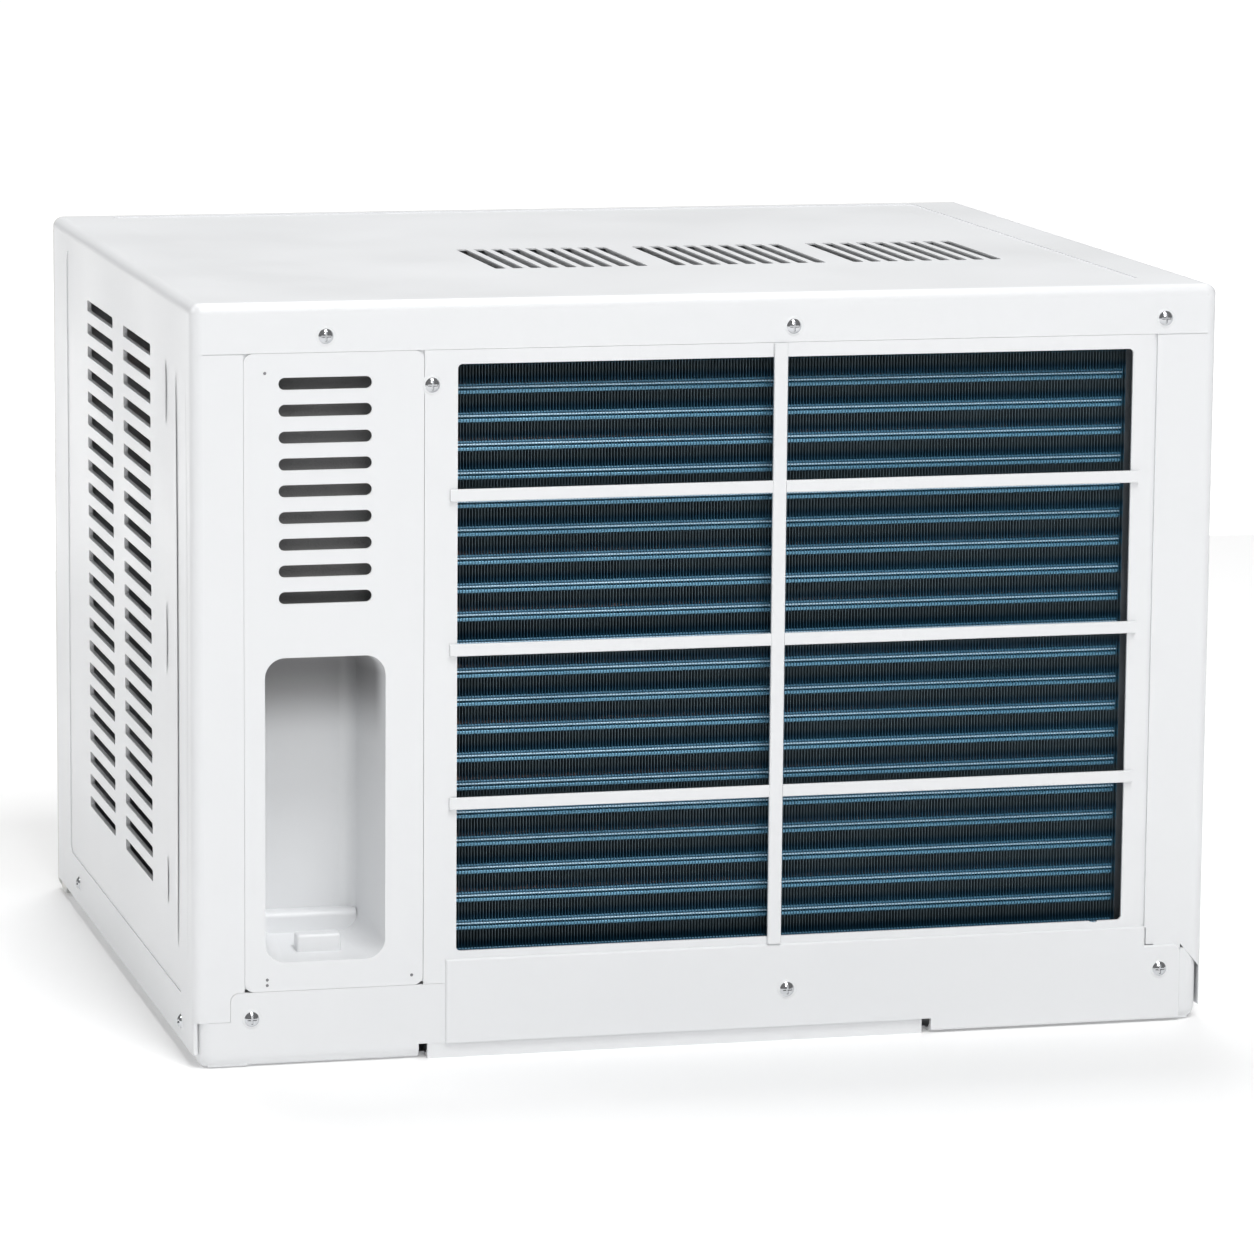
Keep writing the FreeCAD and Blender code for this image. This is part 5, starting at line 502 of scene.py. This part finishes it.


# The sheet's grey is painted shade: the baffle behind the slots lies in shade.
BAFFLE_SHADE_GREY = finish_material("baffle_painted_shade", (0.27, 0.27, 0.27), (0.21, 0.21, 0.212), (0.85, 0.95),
                       sizes=[("Scale", 900), ("Slow Scale", 40)], bump=0.6, depth=0.0004)
SLOTS_X = 175.7 * MM
SHADE_SHEET_HALF_WIDE = 25.6 * MM
SHADE_SHEET_BACK, SHADE_SHEET_FACE = 185.1 * MM, 186.8 * MM
SHADE_SHEET_FOOT, SHADE_SHEET_TOP = 200 * MM, 308.5 * MM
stuck_felt("baffle_shade_sheet", (SLOTS_X - SHADE_SHEET_HALF_WIDE, SHADE_SHEET_BACK, SHADE_SHEET_FOOT),
           (SLOTS_X + SHADE_SHEET_HALF_WIDE, SHADE_SHEET_FACE, SHADE_SHEET_TOP), cuts=8, wave=9 * MM)


# %% Bosses round the screws
REAR_Y = 0.198
SIDE_X = 0.235


def boss_ring(place, facing, radius=5.4 * MM, proud=0.3 * MM, sink=0.6 * MM):
    """A low pressed ring with soft shoulders; its foot is sunk in the sheet and it narrows outwards."""
    facing = Vector(facing)
    middle = Vector(place) * MM + facing * (proud - sink) / 2
    turn = facing.to_track_quat("Z", "Y").to_euler()
    bpy.ops.object.select_all(action="DESELECT")
    bpy.ops.mesh.primitive_cone_add(vertices=40, radius1=radius, radius2=radius * 0.72, depth=proud + sink,
                                    location=middle, rotation=turn)
    boss = bpy.context.object
    bpy.ops.object.transform_apply(location=True, rotation=True, scale=True)
    return modified(boss, "BEVEL", width=proud * 0.6, segments=2, limit_method="ANGLE")


REAR_SCREWS = [(175.5, 198, 325), (-36, 198, 325), (-210, 198, 325), (128, 198, 302.5), (208.9, 198, 22),
               (-36.3, 199.2, 24), (-213.7, 199.2, 25)]
SIDE_SCREWS = [(235, -123, 17.5), (235, 166.7, 15.2)]
bosses = [boss_ring(place, (0, 1, 0)) for place in REAR_SCREWS]
for x, y, z in SIDE_SCREWS:
    bosses += [boss_ring((way * x, y, z), (way, 0, 0)) for way in (1, -1)]
ridden(joined(bosses, "screw_bosses"), "screw_bosses", "housing", MATERIALS["case_paint"])


# %% Rivets
def rivet(x, z, radius):
    """A small domed rivet on the rear face."""
    bpy.ops.object.select_all(action="DESELECT")
    bpy.ops.mesh.primitive_uv_sphere_add(segments=20, ring_count=10, radius=radius,
                                         location=(x * MM, REAR_Y, z * MM))
    made = bpy.context.object
    made.scale = (1, 0.4, 1)
    bpy.ops.object.transform_apply(location=True, rotation=True, scale=True)
    return made


RIVET_STEEL = finish_material("dull_rivet", (0.30, 0.30, 0.31), (0.22, 0.22, 0.23), (0.4, 0.5), bump=0.1,
                              Metallic=0.7)
rivets = joined([rivet(x, z, 0.7 * MM) for x,
                 z in ((202.5, 309.3), (201.9, 39.4), (201.9, 36.9), (136.7, 38.6))],
                "panel_rivets")
ridden(rivets, "panel_rivets", "housing", RIVET_STEEL)
print("bosses:", len(bosses), "felt and rivets made")

# %% [markdown]
# ## Pressed ribs on the sides
# A flat sheet this large would drum, so the press tool raises low ribs in it: two long soft
# ones near the rear edge and three short ones beside the slots. Each is a bar sunk in the
# sheet with only its rounded back showing.

# %% Ribs
def rib(way, y, span, wide, proud):
    """An upright rib on a side sheet: the outer half of a long, very flat lens."""
    low, high = span
    bpy.ops.object.select_all(action="DESELECT")
    bpy.ops.mesh.primitive_uv_sphere_add(segments=48, ring_count=24, radius=1,
                                         location=(way * SIDE_X, y * MM, (low + high) / 2 * MM))
    lens = bpy.context.object
    lens.scale = (proud * MM, wide / 2 * MM, (high - low) / 2 * MM)
    bpy.ops.object.transform_apply(location=True, rotation=True, scale=True)
    edit(lens, "FACE", lambda face: way * face.center.x < SIDE_X,
         lambda: bpy.ops.mesh.delete(type="FACE"))
    edit(lens, "EDGE", lambda edge: True, lambda: bpy.ops.mesh.region_to_loop(),
         lambda: bpy.ops.mesh.fill())
    return lens


RIBS = [(183, (46, 306), 9), (157, (46, 306), 8), (131, (279, 308), 5), (131, (166, 199), 5),
        (131, (61, 83), 5)]
ribs = [rib(way, y, span, wide, 0.3) for y, span, wide in RIBS for way in (1, -1)]
ridden(joined(ribs, "side_ribs"), "side_ribs", "housing", MATERIALS["case_paint"])
print("ribs:", len(ribs))

# %% [markdown]
# ## The filter's woven net
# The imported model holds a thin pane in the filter's frame. The real thing is a nylon net, so
# two layers of fine threads are laid across each other, each thread an array copy of the first.

# %% Threads
def threads(low, high, along, pitch, thick):
    """Parallel threads that fill a box; along is the axis they run on, 0 for X or 2 for Z."""
    across = 2 - along
    low, high = Vector(low), Vector(high)
    end = high.copy()
    end[across] = low[across] + thick
    thread = slab(low, end)
    step = Vector((0, 0, 0))
    step[across] = pitch
    count = int((high[across] - low[across]) / pitch) + 1
    return modified(thread, "ARRAY", count=count, use_relative_offset=False, use_constant_offset=True,
                    constant_offset_displace=step)


def woven_net():
    low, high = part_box("filter_mesh")
    middle = (low.y + high.y) / 2
    thick = 0.45 * MM
    level = threads((low.x, middle - thick, low.z), (high.x, middle, high.z), 0, 2.2 * MM, thick)
    upright = threads((low.x, middle, low.z), (high.x, middle + thick, high.z), 2, 2.2 * MM, thick)
    net = ridden(joined([level, upright], "filter_net"), "filter_net", "filter",
                 MATERIALS["filter_mesh"])
    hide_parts("filter_mesh")
    print("net faces:", len(net.data.polygons))


woven_net()

# %% [markdown]
# ## Marks on the control desk
# A pad-printed scale rings each knob: fine ticks with plain numbers. Ink is only a few
# hundredths of a millimetre thick, so the ticks and digits are very thin solids on the desk.
# The bar across each knob points at them.

# %% Ticks and numbers
INK = finish_material("printed_ink", (0.035, 0.036, 0.04), (0.05, 0.051, 0.055), (0.5, 0.6), bump=0.1)
DESK_Y = -0.189
KNOB_X = 0.183
SWEEPS = [(0.166, 210, 5), (0.256, 270, 7)]  # height of the knob, degrees it turns, marks


def tick(x, z, angle, inner, outer, wide):
    """A printed line on the desk, pointing at a knob's middle; angle runs clockwise from the top.

    With no window, transform.rotate turns the other way, hence the minus sign.
    """
    line = slab((x - wide / 2, DESK_Y - 0.05 * MM, z + inner),
                (x + wide / 2, DESK_Y + 0.05 * MM, z + outer))
    edit(line, "VERT", lambda v: True, lambda: bpy.ops.transform.rotate(
        value=-angle, orient_axis="Y", center_override=(x, DESK_Y, z)))
    return line


def digit(text, x, z, size):
    """A printed number, upright and read from the room side."""
    bpy.ops.object.select_all(action="DESELECT")
    bpy.ops.object.text_add(location=(x, DESK_Y - 0.03 * MM, z), rotation=(math.pi / 2, 0, 0))
    words = bpy.context.object
    words.data.body = text
    words.data.size = size
    words.data.align_x = "CENTER"
    words.data.align_y = "CENTER"
    words.data.extrude = 0.02 * MM
    words.data.resolution_u = 3
    bpy.ops.object.convert(target="MESH")
    bpy.ops.object.transform_apply(location=True, rotation=True, scale=True)
    return bpy.context.object


marks = []
for z, sweep, count in SWEEPS:
    for n in range(count):
        turn = math.radians(sweep * n / (count - 1))
        marks.append(tick(KNOB_X, z, turn, 22.4 * MM, 25.4 * MM, 0.7 * MM))
        marks.append(digit(str(n), KNOB_X + 29.5 * MM * math.sin(turn), z + 29.5 * MM * math.cos(turn),
                           5.5 * MM))
ridden(joined(marks, "desk_marks"), "desk_marks", "housing", INK)
print("marks:", len(marks))

# %% [markdown]
# ## Studio
# The unit stands on a white sweep under broad soft light. The camera is a long lens a little
# above the case, off the corner with the hand recess, so both faces and the top show.

# %% Floor
bpy.ops.object.select_all(action="DESELECT")
bpy.ops.mesh.primitive_plane_add(size=70, location=(0, 0, 0))
floor = bpy.context.object
floor.name = "studio_floor"
floor.data.materials.append(finish_material("studio_paper", (0.90, 0.90, 0.90), (0.89, 0.89, 0.89),
                                            (0.85, 0.9),
                                            bump=0.02, Emission_Color=(1, 1, 1, 1), Emission_Strength=0.15))

bpy.ops.mesh.primitive_plane_add(size=60, location=(0, -31.2, 0.0005))
sweep = bpy.context.object
sweep.name = "studio_far_floor"
sweep.data.materials.append(finish_material("studio_far_paper", (0.90, 0.90, 0.90), (0.89, 0.89, 0.89),
                                            (0.85, 0.9),
                                            bump=0.02, Emission_Color=(1, 1, 1, 1), Emission_Strength=0.85))

# %% Camera
CAMERA_PLACE = (0.6786, 2.7209, 0.6324)
YAW, DOWN, ROLL = math.radians(14.22), math.radians(9.60), math.radians(0.475)
bpy.ops.object.camera_add(location=CAMERA_PLACE)
camera = bpy.context.object
aim = Matrix.Rotation(math.pi - YAW, 4, "Z") @ Matrix.Rotation(math.pi / 2 - DOWN, 4,
                                                               "X") @ Matrix.Rotation(ROLL, 4, "Z")
camera.rotation_euler = aim.to_euler()
camera.data.sensor_width = 36
camera.data.lens = 170.6
camera.data.clip_end = 50
bpy.context.scene.camera = camera


# %% Lights
def soft_box(name, place, target, size, power):
    bpy.ops.object.light_add(type="AREA", location=place)
    light = bpy.context.object
    light.name = name
    light.rotation_euler = (Vector(target) - Vector(place)).to_track_quat("-Z", "Y").to_euler()
    light.data.size = size
    light.data.energy = power
    return light


world = bpy.context.scene.world or bpy.data.worlds.new("studio_air")
bpy.context.scene.world = world
world.use_nodes = True
world.node_tree.nodes["Background"].inputs["Color"].default_value = (1, 1, 1, 1)
world.node_tree.nodes["Background"].inputs["Strength"].default_value = 0.225
soft_box("key_light", (-0.2, 1.7, 3.1), (0, 0.2, 0.15), 1.1, 57)
soft_box("fill_light", (0.1, 2.7, 1.9), (0, 0.2, 0.15), 1.0, 20)
soft_box("side_light", (2.9, -0.9, 1.9), (0, 0, 0.2), 1.2, 15)
soft_box("top_light", (0.0, -1.3, 3.1), (0, 0, 0.3), 1.5, 50)


# A dark card behind and above the camera gives bright metal something to mirror.
bpy.ops.mesh.primitive_plane_add(size=1.6, location=(0.6, 3.6, 2.7), rotation=(math.radians(125), 0, 0))
flag = bpy.context.object
flag.name = "studio_dark_card"
flag.data.materials.append(finish_material("studio_black_card", (0.01, 0.01, 0.01), (0.014, 0.014, 0.014),
                                           (0.8, 0.9)))
bpy.context.scene.view_settings.view_transform = "Standard"
